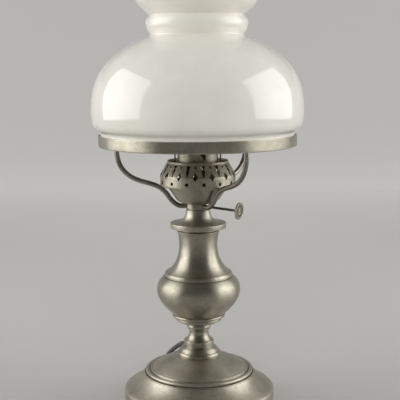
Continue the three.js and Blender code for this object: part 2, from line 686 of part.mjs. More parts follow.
function opalShade() {
  const lip = ring.radius - ring.wall - shade.lipGap;
  const lipTop = shadeBottom + shade.lipRise;
  const turnTop = lipTop + shade.turnRise;
  const rise = (share) => shadeBottom + shade.height * share;
  const [wide, shoulder, collarUp] = [rise(shadeWideShare), rise(shadeShoulderShare), rise(shadeCollarShare)];
  const [bead, throat, cup] = [rise(shadeBeadShare), rise(shadeThroatShare), rise(shadeCupShare)];
  const top = shadeBottom + shade.height;
  const inward = (radius) => radius - shade.wall;
  const beadPull = 2 * shade.beadRadius - shade.collarRadius;
  return turned(outline(4, (path) => {
    path.moveTo(inward(lip), shadeBottom);
    path.lineTo(lip, shadeBottom);
    path.lineTo(lip, lipTop);
    path.lineTo(lip + shade.turnOut, turnTop);
    path.quadraticCurveTo(shade.wideRadius, mix(turnTop, wide, 0.4), shade.wideRadius, wide);
    path.bezierCurveTo(
      shade.wideRadius, mix(wide, shoulder, 0.46), mix(shade.wideRadius, shade.shoulderRadius, 0.34),
      mix(wide, shoulder, 0.77), shade.shoulderRadius, shoulder,
    );
    path.lineTo(shade.collarRadius, collarUp);
    path.quadraticCurveTo(beadPull, bead, shade.throatRadius, throat);
    path.quadraticCurveTo(
      mix(shade.throatRadius, shade.cupRadius, 0.8), mix(throat, cup, 0.34), shade.cupRadius, cup,
    );
    path.quadraticCurveTo(shade.cupRadius, mix(cup, top, 0.6), shade.rimRadius, top);
    path.lineTo(inward(shade.rimRadius), top);
    path.lineTo(inward(shade.cupRadius), cup);
    path.lineTo(inward(mix(shade.throatRadius, shade.cupRadius, 0.66)), mix(throat, cup, 0.42));
    path.lineTo(inward(shade.throatRadius), throat - shade.wall / 3);
    path.lineTo(inward(shade.beadRadius), bead);
    path.lineTo(inward(shade.collarRadius), collarUp);
    path.lineTo(inward(shade.shoulderRadius), shoulder - shade.wall);
    path.bezierCurveTo(
      inward(mix(shade.wideRadius, shade.shoulderRadius, 0.34)), mix(wide, shoulder, 0.77) - shade.wall,
      inward(shade.wideRadius), mix(wide, shoulder, 0.46), inward(shade.wideRadius), wide,
    );
    path.lineTo(inward(lip + shade.turnOut), turnTop);
    path.lineTo(inward(lip), lipTop);
  }), wideSides);
}

// The knob's disc with a scalloped rim, a raised ring and relief on its face, and a hub
function winderKnob() {
  const back = winder.reach - knob.thick / 2;
  const face = back + knob.thick;
  const rim = [];
  for (let i = 0; i < 2 * knob.notches; i += 1) {
    const angle = (Math.PI * i) / knob.notches;
    const radius = knob.radius - (i % 2) * knob.notchDeep;
    rim.push([radius * Math.cos(angle), radius * Math.sin(angle)]);
  }
  const raised = face + knob.relief;
  const centre = knob.ringRadius - knob.ringWide - knob.relief;
  return joined([
    prism(polygon(rim), back, face),
    sleeveOf(knob.radius - knob.notchDeep - knob.relief, knob.radius - knob.rimWide, back, raised, slimSides),
    sleeveOf(knob.ringRadius, knob.ringRadius - knob.ringWide, back, raised, slimSides),
    sleeveOf(centre, centre - knob.ringWide, back, raised, slimSides),
    rodOf(knob.hubRadius, back - knob.hubLength, back + knob.relief, slimSides),
  ]);
}

function winderShaft() {
  const start = rotary.rotorLength / 2 - cutOverrun;
  return rodOf(winder.shaftRadius, start, winder.reach - knob.thick / 2 - knob.hubLength, wireSides);
}

function switchRotor() {
  const half = rotary.rotorLength / 2;
  const socket = winder.shaftRadius + seatGap;
  return turned(outline(1, (path) => {
    path.moveTo(0, -half);
    path.lineTo(rotary.rotorRadius, -half);
    path.lineTo(rotary.rotorRadius, half);
    path.lineTo(socket, half);
    path.lineTo(socket, half - cutOverrun - seatGap);
    path.lineTo(0, half - cutOverrun - seatGap);
  }), slimSides);
}

function switchBody() {
  const half = rotary.length / 2;
  const bore = rotary.rotorRadius + runningGap;
  const shaftBore = winder.shaftRadius + runningGap;
  return turned(outline(1, (path) => {
    path.moveTo(bore, -half);
    path.lineTo(rotary.radius, -half);
    path.lineTo(rotary.radius, half);
    path.lineTo(rotary.neckRadius, half);
    path.lineTo(rotary.neckRadius, collarBore - 2 * seatGap);
    path.lineTo(shaftBore, collarBore - 2 * seatGap);
    path.lineTo(shaftBore, rotary.rotorLength / 2 + runningGap);
    path.lineTo(bore, rotary.rotorLength / 2 + runningGap);
  }), slimSides);
}

function holderBase() {
  const floor = deckTop + holder.baseFloor;
  return turned(outline(1, (path) => {
    path.moveTo(tubeHole, deckTop);
    path.lineTo(holder.radius - holder.wall, deckTop);
    path.lineTo(holder.radius, deckTop + holder.wall);
    path.lineTo(holder.radius, coreBottom);
    path.lineTo(holder.radius - holder.wall, coreBottom);
    path.lineTo(holder.radius - holder.wall, floor);
    path.lineTo(tubeHole, floor);
  }), midSides);
}

function holderCore() {
  const pocket = screwShell.bore + screwShell.wall + seatGap;
  const spigot = holder.radius - holder.wall - seatGap;
  return turned(outline(1, (path) => {
    path.moveTo(0, coreBottom - holder.spigot);
    path.lineTo(spigot, coreBottom - holder.spigot);
    path.lineTo(spigot, coreBottom);
    path.lineTo(holder.radius, coreBottom);
    path.lineTo(holder.radius, coreBottom + holder.coreHeight);
    path.lineTo(pocket, coreBottom + holder.coreHeight);
    path.lineTo(pocket, corePocket);
    path.lineTo(0, corePocket);
  }), midSides);
}

// A sheet tongue that lies on the pocket floor and springs up under the bulb's tip
function tipSpring() {
  const high = corePocket + contact.rise;
  const side = polygon([
    [-contact.reach, corePocket], [-contact.reach / 3, corePocket], [0, high - contact.sheet],
    [contact.reach / 2, high - contact.sheet], [contact.reach / 2, high], [-contact.sheet, high],
    [-contact.reach / 2, corePocket + contact.sheet], [-contact.reach, corePocket + contact.sheet],
  ]);
  return prism(side, -contact.wide / 2, contact.wide / 2).rotateX(radians(90));
}

function bulbCap() {
  const outer = screwShell.bore - seatGap;
  const taperTop = bulbCapBottom + bulb.capTaper;
  const top = bulbCapBottom + bulb.capHeight;
  const ridge = (screwShell.height - bulb.capTaper) / bulb.ridges;
  const floor = outer - bulb.capTaper;
  return turned(outline(1, (path) => {
    path.moveTo(bulb.holeRadius, bulbCapBottom);
    path.lineTo(floor, bulbCapBottom);
    for (let i = 0; i < bulb.ridges; i += 1) {
      path.lineTo(outer - bulb.ridgeDeep, taperTop + ridge * i);
      path.lineTo(outer, taperTop + ridge * (i + 0.5));
    }
    path.lineTo(outer, top);
    path.lineTo(outer - bulb.capWall, top);
    path.lineTo(outer - bulb.capWall - bulb.ridgeDeep, top - bulb.sunk);
    path.lineTo(outer - bulb.capWall - bulb.ridgeDeep, taperTop);
    path.lineTo(floor, bulbCapBottom + bulb.capWall);
    path.lineTo(bulb.holeRadius, bulbCapBottom + bulb.capWall);
  }), neckSides);
}

function bulbEnvelope() {
  const low = bulbCapBottom + bulb.capHeight - bulb.sunk;
  const neckRadius = screwShell.bore - bulb.capWall - bulb.ridgeDeep - 2 * seatGap;
  const neckTopHeight = low + bulb.sunk + seatGap;
  const wide = low + bulb.height * bulbWideShare;
  const top = low + bulb.height;
  const round = bulb.wideRadius * bulbRoundShare;
  return turned(outline(3, (path) => {
    path.moveTo(neckRadius - bulb.wall, low);
    path.lineTo(neckRadius, low);
    path.lineTo(neckRadius, neckTopHeight);
    path.bezierCurveTo(
      neckRadius, mix(low, wide, 0.45), bulb.wideRadius, mix(low, wide, 0.55), bulb.wideRadius, wide,
    );
    path.bezierCurveTo(bulb.wideRadius, wide + round, round, top, 0, top);
    path.lineTo(0, top - bulb.wall);
    path.bezierCurveTo(
      round - bulb.wall, top - bulb.wall, bulb.wideRadius - bulb.wall, wide + round,
      bulb.wideRadius - bulb.wall, wide,
    );
    path.bezierCurveTo(
      bulb.wideRadius - bulb.wall, mix(low, wide, 0.55), neckRadius - bulb.wall, mix(low, wide, 0.45),
      neckRadius - bulb.wall, neckTopHeight,
    );
  }), neckSides);
}

// Strain bushing: a sleeve in the back of the foot with a tapered tip outside
function cordBushing() {
  const bore = bushing.radius - bushing.wall;
  const wallOut = foot.radius + seatGap;
  const tip = bushingInner + bushing.length;
  return turned(outline(1, (path) => {
    path.moveTo(bore, bushingInner);
    path.lineTo(bushing.radius, bushingInner);
    path.lineTo(bushing.radius, wallOut);
    path.lineTo(bushing.tipRadius, tip);
    path.lineTo(bore, tip);
  }), slimSides);
}

// The stripped leads, from the bushing through the tube wall and up the tube to the switch
function innerLeads() {
  const out = (reach) => {
    const point = new THREE.Vector3(0, 0, reach).applyMatrix4(bushingTurn);
    return [point.x, point.y, point.z + bushingHeight];
  };
  const top = collarMiddle - rotary.radius - 2 * seatGap;
  const turn = out(leadRadius);
  return barAlong([
    out(bushingInner + bushing.length), out(foot.radius / 2), out(tube.radius), turn,
    [0, 0, turn[2] + tube.radius], [0, 0, turn[2] + 2 * tube.radius], [0, 0, top],
  ], leadRadius, 6, 20);
}

// The coil: spirals in on the floor layer, climbs in the half turn where it reverses, spirals out above
function coilTurns() {
  const points = [];
  const low = coilLow;
  const inSteps = coil.turnsIn * coil.loopSteps;
  const halfSteps = coil.loopSteps / 2;
  const outSteps = coil.turnsOut * coil.loopSteps;
  const place = (turns, radius, height) => {
    const angle = radians(coil.startAngle - fullTurn * turns);
    points.push(new THREE.Vector3(
      coil.centreX + radius * Math.cos(angle), coil.centreY + radius * Math.sin(angle), height,
    ));
  };
  for (let i = 0; i <= inSteps; i += 1) {
    place(i / coil.loopSteps, coil.innerRadius + coil.pitch * (coil.turnsIn - i / coil.loopSteps), low);
  }
  for (let i = 1; i <= halfSteps; i += 1) {
    const dip = coil.dip * Math.sin((Math.PI * i) / halfSteps);
    place(coil.turnsIn + i / coil.loopSteps, coil.innerRadius - dip, low + (coil.pitch * i) / halfSteps);
  }
  for (let i = 1; i <= outSteps; i += 1) {
    const turns = coil.turnsIn + 0.5 + i / coil.loopSteps;
    place(turns, coil.innerRadius + (coil.pitch * i) / coil.loopSteps, low + coil.pitch);
  }
  return points;
}

// One unbroken tube through points, its rings square to the route
function tubeThrough(points, radius, sides) {
  const corners = [];
  const faces = [];
  const up = new THREE.Vector3(0, 0, 1);
  points.forEach((point, i) => {
    const ahead = points[Math.min(i + 1, points.length - 1)];
    const behind = points[Math.max(i - 1, 0)];
    const along = ahead.clone().sub(behind).normalize();
    const across = along.clone().cross(up).normalize();
    const over = across.clone().cross(along);
    for (let k = 0; k < sides; k += 1) {
      const angle = (2 * Math.PI * (k + 0.5)) / sides;
      const corner = point.clone();
      corner.addScaledVector(across, radius * Math.cos(angle));
      corner.addScaledVector(over, radius * Math.sin(angle));
      corners.push(corner.x, corner.y, corner.z);
    }
  });
  for (let i = 0; i + 1 < points.length; i += 1) {
    for (let k = 0; k < sides; k += 1) {
      const [a, b] = [i * sides + k, i * sides + ((k + 1) % sides)];
      faces.push(a, b, a + sides, b, b + sides, a + sides);
    }
  }
  const last = (points.length - 1) * sides;
  for (let k = 1; k + 1 < sides; k += 1) {
    faces.push(0, k + 1, k, last, last + k, last + k + 1);
  }
  const geometry = new THREE.BufferGeometry();
  geometry.setAttribute('position', new THREE.Float32BufferAttribute(corners, 3));
  geometry.setIndex(faces);
  return closed(geometry);
}

function routeLength(points) {
  return points.slice(1).reduce((sum, point, i) => sum + point.distanceTo(points[i]), 0);
}

// Least gap of the coil to itself, between points at least a third of a loop apart
function leastGap(points, radius, apart) {
  let least = Infinity;
  points.forEach((point, i) => {
    for (let k = i + apart; k < points.length; k += 1) {
      least = Math.min(least, point.distanceTo(points[k]));
    }
  });
  return least - 2 * radius;
}

// A flat strap closed round the coil's bundle
function coilTie() {
  const reachIn = coil.innerRadius - cord.radius - seatGap;
  const turnsLeft = coil.turnsIn - (coil.startAngle - tie.angle) / fullTurn;
  const reachOut = coil.innerRadius + coil.pitch * turnsLeft + cord.radius + seatGap;
  const low = coilLow - cord.radius - seatGap;
  const high = coilLow + coil.pitch + cord.radius + seatGap;
  const strap = polygon([
    [reachIn - tie.thick, low - tie.thick], [reachOut + tie.thick, low - tie.thick],
    [reachOut + tie.thick, high + tie.thick], [reachIn - tie.thick, high + tie.thick],
  ]);
  const window = polygon([[reachIn, low], [reachOut, low], [reachOut, high], [reachIn, high]]);
  const half = tie.wide / 2;
  const band = cut(prism(strap, -half, half), [prism(window, -half - cutOverrun, half + cutOverrun)]);
  return band.rotateX(radians(90)).rotateZ(radians(tie.angle)).translate(coil.centreX, coil.centreY, 0);
}

// The plug lies on the coil: wide and thick at the pins, drawn in toward the lead
const plugHeight = coilLow + coil.pitch + cord.radius + seatGap + plug.thick / 2;

function onPlug(geometry) {
  return geometry.rotateZ(radians(plug.heading)).translate(plug.rearX, plug.rearY, plugHeight);
}

function plugBody() {
  const taper = (rear, front) => polygon([
    [0, -rear / 2], [plug.length - plug.shoulder, -front / 2], [plug.length, -front / 2],
    [plug.length, front / 2], [plug.length - plug.shoulder, front / 2], [0, rear / 2],
  ]);
  const above = prism(taper(plug.rearWide, plug.wide), -plug.thick, plug.thick);
  const beside = prism(taper(plug.rearThick, plug.thick), -plug.wide, plug.wide).rotateX(radians(90));
  const pinHole = (side) => rodOf(
    plug.pinRadius + seatGap, plug.length - plug.pinSunk, plug.length + cutOverrun, wireSides,
  ).rotateY(radians(90)).translate(0, (side * plug.pinSpacing) / 2, 0);
  return onPlug(cut(shared(above, beside), [pinHole(-1), pinHole(1)]));
}

function plugPin(side) {
  const start = plug.length - plug.pinSunk + seatGap;
  const pin = rodOf(plug.pinRadius, start, plug.length + plug.pinLength, wireSides);
  return onPlug(pin.rotateY(radians(90)).translate(0, (side * plug.pinSpacing) / 2, 0));
}

const capNutBottom = capWebTop;
const baseNutBottom = pocketTop - washer.thick - lockNut.thick;
const nippleTop = coreBottom - holder.spigot - seatGap;
const deckNutBottom = deckBottom - lockNut.thick;
const shellTop = corePocket + screwShell.height;
const tipTop = bulbCapBottom - seatGap;
const coilPoints = coilTurns();

const baseGroup = grouped(
  piece('base_felt', rodOf(base.radius - felt.inset, 0, felt.thick, wideSides), feltCloth),
  piece('base_shell', baseShell(), pewter),
  piece('base_ballast', ballastDisc(), iron),
  piece('base_washer', sleeveOf(
    washer.radius, tubeHole, pocketTop - washer.thick, pocketTop, slimSides,
  ), steel),
  piece('base_nut', hexNut(lockNut, tubeHole, baseNutBottom), steel),
  piece('base_spacer', sleeveOf(
    spacer.radius, spacer.radius - spacer.wall, baseBottom + ballast.thick, baseTop - base.wall, slimSides,
  ), steel),
);

const stemGroup = grouped(
  piece('stem_tube', stemTube(), steel),
  piece('stem_foot', stemFoot(), pewter),
  piece('stem_neck', stemNeck(), pewter),
  piece('vase_bowl', vaseBowl(), pewter),
  piece('vase_neck', vaseNeck(), pewter),
  piece('vase_cap', vaseCap(), pewter),
  piece('cap_nut', hexNut(lockNut, tubeHole, capNutBottom), steel),
);

const burnerGroup = grouped(
  piece('arm_collar', armCollar(), pewter),
  piece('burner_funnel', burnerFunnel(), pewter),
  piece('gallery', galleryShell(), pewter),
  piece('crown_sleeve', crownSleeve(), pewter),
  piece('sleeve_clip_right', sleeveClip(0), darkPewter),
  piece('sleeve_clip_left', sleeveClip(180), darkPewter),
);

const shadeGroup = grouped(
  piece('arm_left', bentArm(armAzimuths.left), pewter),
  piece('arm_front_right', bentArm(armAzimuths.frontRight), pewter),
  piece('arm_back_right', bentArm(armAzimuths.backRight), pewter),
  piece('shade_ring', shadeRing(), pewter),
  piece('opal_shade', opalShade(), opal),
);

const winderGroup = grouped(
  piece('winder_knob', winderKnob(), pewter),
  piece('winder_shaft', winderShaft(), steel),
  piece('switch_rotor', switchRotor(), brass),
  piece('switch_body', switchBody(), phenolic),
);
winderGroup.applyMatrix4(winderTurn);
winderGroup.position.z = collarMiddle;

const holderGroup = grouped(
  piece('holder_nipple', sleeveOf(
    tube.radius, nipple.bore, deckNutBottom - tube.beyondNut, nippleTop, slimSides,
  ), steel),
  piece('nipple_nut', hexNut(lockNut, tubeHole, deckNutBottom), steel),
  piece('holder_base', holderBase(), phenolic),
  piece('holder_core', holderCore(), porcelain),
  piece('screw_shell', sleeveOf(
    screwShell.bore + screwShell.wall, screwShell.bore, corePocket, shellTop, midSides,
  ), brass),
  piece('tip_spring', tipSpring(), brass),
);
for (const [name, side] of [['terminal_screw_live', -1], ['terminal_screw_neutral', 1]]) {
  const bottom = deckTop + holder.baseFloor;
  const screw = rodOf(terminal.radius, bottom + seatGap, coreBottom - holder.spigot, wireSides);
  holderGroup.add(piece(name, screw.translate(side * terminal.offset, 0, 0), brass));
}

const bulbGroup = grouped(
  piece('bulb_glass', bulbEnvelope(), bulbGlass),
  piece('bulb_cap', bulbCap(), steel),
  piece('bulb_tip', rodOf(bulb.tipRadius, tipTop - bulb.tipHeight, tipTop, slimSides), brass),
);

const upperLeadLow = collarMiddle + rotary.radius + 2 * seatGap;
const upperLeadHigh = coreBottom - holder.spigot - seatGap;
const leadGroup = grouped(
  piece('cord_bushing', alongBushing(cordBushing()), phenolic),
  piece('lead_lower', innerLeads(), lampCord),
  piece('lead_upper', rodOf(leadRadius, upperLeadLow, upperLeadHigh, wireSides), lampCord),
  piece('cord_lead', barAlong(leadRoute, cord.radius, cord.sides, cord.leadSteps), lampCord),
  piece('cord_coil', tubeThrough(coilPoints, cord.radius, coil.sides), lampCord),
  piece('cord_tail', barAlong(tailRoute, cord.radius, cord.sides, cord.tailSteps), lampCord),
  piece('coil_tie', coilTie(), phenolic),
  piece('plug_body', plugBody(), phenolic),
  piece('plug_pin_left', plugPin(-1), brass),
  piece('plug_pin_right', plugPin(1), brass),
);

console.log('coil length', routeLength(coilPoints).toFixed(1));
console.log('least gap in the coil', leastGap(coilPoints, cord.radius, coil.loopSteps / 3).toFixed(2));

const lamp = grouped(
  baseGroup, stemGroup, burnerGroup, shadeGroup, winderGroup, holderGroup, bulbGroup, leadGroup,
);
lamp.name = 'electrified_oil_lamp';

export default lamp;
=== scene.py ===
import math
from functools import partial

import bmesh
import bpy
from mathutils import Matrix, Vector


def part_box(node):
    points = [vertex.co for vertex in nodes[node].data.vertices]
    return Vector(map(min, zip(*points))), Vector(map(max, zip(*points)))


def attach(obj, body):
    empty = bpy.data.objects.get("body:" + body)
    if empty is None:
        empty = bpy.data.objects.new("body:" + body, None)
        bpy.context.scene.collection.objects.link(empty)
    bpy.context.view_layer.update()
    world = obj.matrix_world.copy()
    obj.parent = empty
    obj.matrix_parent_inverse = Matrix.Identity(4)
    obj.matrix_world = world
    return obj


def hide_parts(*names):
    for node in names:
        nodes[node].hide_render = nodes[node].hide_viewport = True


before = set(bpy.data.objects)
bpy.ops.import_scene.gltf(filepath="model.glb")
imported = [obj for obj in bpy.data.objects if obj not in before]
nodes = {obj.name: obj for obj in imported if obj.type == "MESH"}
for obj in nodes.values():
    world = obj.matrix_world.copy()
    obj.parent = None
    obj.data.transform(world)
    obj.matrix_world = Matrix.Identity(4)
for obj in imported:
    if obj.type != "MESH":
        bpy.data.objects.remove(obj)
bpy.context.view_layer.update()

MM = 0.001

# Camera: distance, height and tilt fitted to the rings of the lamp
CAMERA_AWAY = 0.8669
CAMERA_HEIGHT = 0.3373
CAMERA_DOWN = 8.49
CAMERA_ASIDE = 0.0019
CAMERA_ROLL = -0.36
LENS = 81.0


# Heights of the seats, read from the frame

def heights(node):
    """A node's lowest and highest point in millimetres."""
    low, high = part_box(node)
    return low[2] / MM, high[2] / MM


BASE_LOW, BASE_TOP = heights("base_shell")
FOOT_TOP = heights("stem_foot")[1]
NECK_TOP = heights("stem_neck")[1]
BOWL_TOP = heights("vase_bowl")[1]
VASE_LOW, VASE_TOP = heights("vase_neck")
CAP_TOP = heights("vase_cap")[1]
SPIGOT_LOW, COLLAR_TOP = heights("arm_collar")
FUNNEL_TOP = heights("burner_funnel")[1]
GALLERY_TOP = heights("gallery")[1]
DECK_TOP, SLEEVE_TOP = heights("crown_sleeve")
CLIP_TOP = heights("sleeve_clip_left")[1]
RING_LOW, RING_TOP = heights("shade_ring")
SHADE_LOW, SHADE_TOP = heights("opal_shade")
CORE_LOW = heights("holder_base")[1]
CORE_TOP = heights("holder_core")[1]
SHELL_LOW, SHELL_TOP = heights("screw_shell")
BULB_CAP_LOW, BULB_CAP_TOP = heights("bulb_cap")
BULB_LOW, BULB_TOP = heights("bulb_glass")

# Threaded tube and the clear hole for it, shared by the stacked pieces
TUBE_HOLE = 5.3
COLLAR_MID = 202.5

# The mains lead
CORD_RADIUS = 2.3
LEAD_ROUTE = [
    (-14.65, 18.75, 58.1), (-18.24, 23.44, 55.81), (-21.49, 27.83, 52.53), (-24.45, 32.3, 49.1),
    (-26.86, 37.14, 45.75), (-29.01, 42.05, 42.33), (-31.05, 46.88, 38.72), (-32.91, 51.63, 34.91),
    (-34.61, 56.34, 30.99), (-36.09, 61.05, 26.97), (-37.42, 65.57, 22.69), (-38.57, 69.78, 18.06),
    (-39.52, 74.0, 13.39), (-40.36, 78.54, 9.01), (-41.11, 83.68, 5.36), (-41.62, 89.57, 3.07),
    (-41.57, 95.88, 2.41), (-40.8, 102.19, 2.4), (-39.2, 108.35, 2.42), (-37.54, 114.49, 2.73),
    (-36.03, 120.18, 3.2),
]
TAIL_ROUTE = [
    (31.87, 128.88, 8.25), (33.65, 125.8, 8.3), (35.65, 122.34, 8.5), (37.7, 117.4, 8.9),
    (38.4, 112.1, 9.6), (37.7, 106.8, 10.8), (35.65, 101.85, 12.3), (31.6, 96.87, 14.1),
    (26.24, 93.37, 15.6), (20.9, 91.8, 16.5), (15.8, 91.6, 16.85),
]
COIL_CENTRE = (0.0, 111.0)
COIL_INNER = 19.5
COIL_PITCH = 5.05
COIL_LOW = 3.2
COIL_START = 165.0
COIL_IN = 3.5
COIL_CLIMB = 0.5
COIL_OUT = 3.375
COIL_DIP = 0.8
LOOP_STEPS = 48
TIE_ANGLE = 100.0
PLUG_REAR = (15.5, 91.6, 16.85)
PLUG_HEADING = 180.0
PIN_APART = 18.6
BUSHING_AZIMUTH = 128.0
BUSHING_DROOP = 14.0
BUSHING_HEIGHT = 63.69

# Winder: its line leaves the lamp's axis at the collar
WINDER_AZIMUTH = -30.0
WINDER_DROOP = 2.8
KNOB_BACK = 44.4
KNOB_FACE = 45.6
HUB_LENGTH = 2.4

ARM_AZIMUTHS = {"left": 180.0, "front_right": -56.0, "back_right": 51.0}
ARM_RADIUS = 2.35
ARM_LINE = [
    (11.4, 202.5), (17.8, 202.5), (22.7, 205.1), (27.0, 209.4), (30.5, 214.5), (34.8, 218.8),
    (39.7, 222.0), (48.2, 225.0), (56.7, 227.4), (65.2, 231.4), (71.5, 236.8), (75.6, 243.2),
    (77.6, 250.3), (78.3, 255.3), (78.4, 258.5), (78.4, 262.1),
]


def mix(a, b, share):
    return a + (b - a) * share


def polar(radius, degrees):
    angle = math.radians(degrees)
    return radius * math.cos(angle), radius * math.sin(angle)


# Colours and materials

def srgb(code):
    channels = [int(code[i:i + 2], 16) / 255 for i in (0, 2, 4)]
    linear = [c / 12.92 if c <= 0.04045 else ((c + 0.055) / 1.055) ** 2.4 for c in channels]
    return (*linear, 1.0)


def repeat(size):
    """Pattern scale for marks of a size in millimetres."""
    return 1.0 / (size * MM)


def add(tree, kind, inputs=None, **settings):
    """Adds a shader node. An input is a value, a socket, or a node, whose live output is linked."""
    node = tree.nodes.new("ShaderNode" + kind)
    for key, value in settings.items():
        setattr(node, key, value)
    for key, value in (inputs or {}).items():
        if isinstance(value, bpy.types.Node):
            value = next(output for output in value.outputs if output.enabled)
        if isinstance(value, bpy.types.NodeSocket):
            tree.links.new(value, node.inputs[key])
        else:
            node.inputs[key].default_value = value
    return node


def new_material(name):
    """A material, the call that adds its nodes, and the object's own coordinates."""
    made = bpy.data.materials.new(name)
    made.use_nodes = True
    made.node_tree.nodes.clear()
    return made, partial(add, made.node_tree), add(made.node_tree, "TexCoord").outputs["Object"]


def tinted(node, pattern, start, full, under, over, most=1.0):
    """Colour that goes from under to over as a pattern goes from start to full."""
    share = node("MapRange", {"Value": pattern, "From Min": start, "From Max": full, "To Max": most})
    return node("Mix", {"Factor": share, 6: under, 7: over}, data_type="RGBA")


def finish(made, inputs):
    shader = add(made.node_tree, "BsdfPrincipled", inputs)
    add(made.node_tree, "OutputMaterial", {"Surface": shader})
    return made


def pewter(name, light, dark, gloss, spread, ring_depth, grain_depth):
    # Satin pewter, turned or spun: tool rings that draw its gloss out up and down, a cast speckle,
    # polish with a painted highlight on raised edges, dirt with painted shade in grooves
    made, node, where = new_material(name)
    flat = node("VectorMath", {0: where, 1: (1.0, 1.0, 0.0)}, operation="MULTIPLY")
    across = node("VectorMath", {0: flat}, operation="LENGTH")
    height = node("SeparateXYZ", {"Vector": where}).outputs["Z"]
    along = node("Math", {0: across, 1: -0.7, 2: height}, operation="MULTIPLY_ADD")
    cloud = node("TexNoise", {"Vector": where, "Scale": repeat(24), "Detail": 4.0, "Roughness": 0.6})
    speck = node("TexNoise", {"Vector": where, "Scale": repeat(0.8), "Detail": 2.0, "Roughness": 0.6})
    blotch = node("TexNoise", {"Vector": where, "Scale": repeat(3.5), "Detail": 3.0, "Roughness": 0.7})
    ring_line = node("Math", {0: along, 1: repeat(0.5)}, operation="MULTIPLY")
    ring_place = node("CombineXYZ", {"X": ring_line, "Y": cloud})
    rings = node("TexNoise", {"Vector": ring_place, "Scale": 1.0, "Detail": 2.0, "Roughness": 0.7})
    wear_and_shading = node("Attribute", attribute_name="wear_and_shading").outputs["Fac"]
    tone = tinted(node, cloud, 0.36, 0.66, srgb(dark), srgb(light))
    flecked = tinted(node, speck, 0.55, 0.72, tone, srgb("4B453B"), 0.5)
    mottled = tinted(node, blotch, 0.56, 0.74, flecked, srgb("5B5447"), 0.3)
    # Grooves go dark: dirt, together with painted shade where the grooves fall into shadow
    groove_dirt_and_shade = tinted(node, wear_and_shading, 0.46, 0.1, mottled, srgb("2B2721"), 0.8)
    # Raised edges go light: polish, together with a painted highlight along them
    edge_polish_and_highlight = tinted(node, wear_and_shading, 0.58, 0.95, groove_dirt_and_shade, srgb("CBC4B2"), 0.6)
    rubbed = node("MapRange", {
        "Value": blotch, "From Min": 0.3, "From Max": 0.75, "To Min": gloss - 0.04, "To Max": gloss + 0.08})
    ring_bump = node("Bump", {"Height": rings, "Distance": ring_depth * MM, "Strength": 0.5})
    grain_bump = node("Bump", {
        "Height": speck, "Distance": grain_depth * MM, "Strength": 0.5, "Normal": ring_bump})
    round_axis = node("Tangent", direction_type="RADIAL", axis="Z")
    return finish(made, {
        "Base Color": edge_polish_and_highlight, "Metallic": 1.0, "Roughness": rubbed, "Anisotropic": spread,
        "Anisotropic Rotation": 0.25, "Tangent": round_axis, "Normal": grain_bump})


def machined_metal(name, light, dark, gloss, mottle):
    # Machined or plated metal: even colour with faint clouds and short scratches in its gloss
    made, node, where = new_material(name)
    cloud = node("TexNoise", {"Vector": where, "Scale": repeat(mottle), "Detail": 4.0, "Roughness": 0.6})
    drawn = node("VectorMath", {0: where, 1: (1.0, 1.0, 8.0)}, operation="MULTIPLY")
    scratch = node("TexNoise", {"Vector": drawn, "Scale": repeat(mottle / 4), "Detail": 2.0})
    rubbed = node("MapRange", {
        "Value": scratch, "From Min": 0.3, "From Max": 0.7, "To Min": gloss - 0.06, "To Max": gloss + 0.08})
    scored = node("Bump", {"Height": scratch, "Distance": 0.01 * MM, "Strength": 0.4})
    return finish(made, {
        "Base Color": tinted(node, cloud, 0.35, 0.65, srgb(dark), srgb(light)), "Metallic": 1.0,
        "Roughness": rubbed, "Normal": scored})


def opal_glass(name):
    # Milk glass, blown: a deep even white under a wet gloss, with slow waves in the surface
    made, node, where = new_material(name)
    wave = node("TexNoise", {"Vector": where, "Scale": repeat(60), "Detail": 2.0, "Roughness": 0.4})
    cloud = node("TexNoise", {"Vector": where, "Scale": repeat(22), "Detail": 3.0})
    sheen = node("MapRange", {
        "Value": cloud, "From Min": 0.3, "From Max": 0.7, "To Min": 0.07, "To Max": 0.12})
    waved = node("Bump", {"Height": wave, "Distance": 0.5 * MM, "Strength": 0.3})
    return finish(made, {
        "Base Color": tinted(node, cloud, 0.3, 0.7, srgb("F1EEE3"), srgb("F6F3E9")), "Roughness": sheen,
        "IOR": 1.52, "Coat Weight": 0.35, "Coat Roughness": 0.04, "Normal": waved})


def moulded(name, light, dark, gloss, grain, depth):
    # Moulded plastic, rubber or glazed clay: a faint mottle under a fine mould grain
    made, node, where = new_material(name)
    cloud = node("TexNoise", {"Vector": where, "Scale": repeat(8), "Detail": 3.0})
    pits = node("TexNoise", {"Vector": where, "Scale": repeat(grain), "Detail": 2.0, "Roughness": 0.6})
    rubbed = node("MapRange", {
        "Value": pits, "From Min": 0.3, "From Max": 0.7, "To Min": gloss - 0.05, "To Max": gloss + 0.07})
    grained = node("Bump", {"Height": pits, "Distance": depth * MM, "Strength": 0.4})
    return finish(made, {
        "Base Color": tinted(node, cloud, 0.35, 0.65, srgb(dark), srgb(light)), "Roughness": rubbed,
        "Normal": grained})


def pressed_felt(name):
    # Wool felt, pressed: matted short fibres, no gloss
    made, node, where = new_material(name)
    fibre = node("TexNoise", {"Vector": where, "Scale": repeat(0.5), "Detail": 5.0, "Roughness": 0.75})
    fuzz = node("Bump", {"Height": fibre, "Distance": 0.3 * MM, "Strength": 0.7})
    return finish(made, {
        "Base Color": tinted(node, fibre, 0.35, 0.7, srgb("1E2A22"), srgb("3A4A3E")), "Roughness": 0.95,
        "Sheen Weight": 0.35, "Normal": fuzz})


def frosted_glass(name):
    # Bulb glass, frosted inside: smooth outside with a soft cloudy white within
    made, node, where = new_material(name)
    cloud = node("TexNoise", {"Vector": where, "Scale": repeat(16), "Detail": 3.0})
    rubbed = node("MapRange", {
        "Value": cloud, "From Min": 0.3, "From Max": 0.7, "To Min": 0.22, "To Max": 0.3})
    return finish(made, {
        "Base Color": tinted(node, cloud, 0.3, 0.7, srgb("E9E7E0"), srgb("F7F5EE")), "Roughness": rubbed,
        "IOR": 1.5, "Transmission Weight": 0.3, "Coat Weight": 0.6, "Coat Roughness": 0.04})


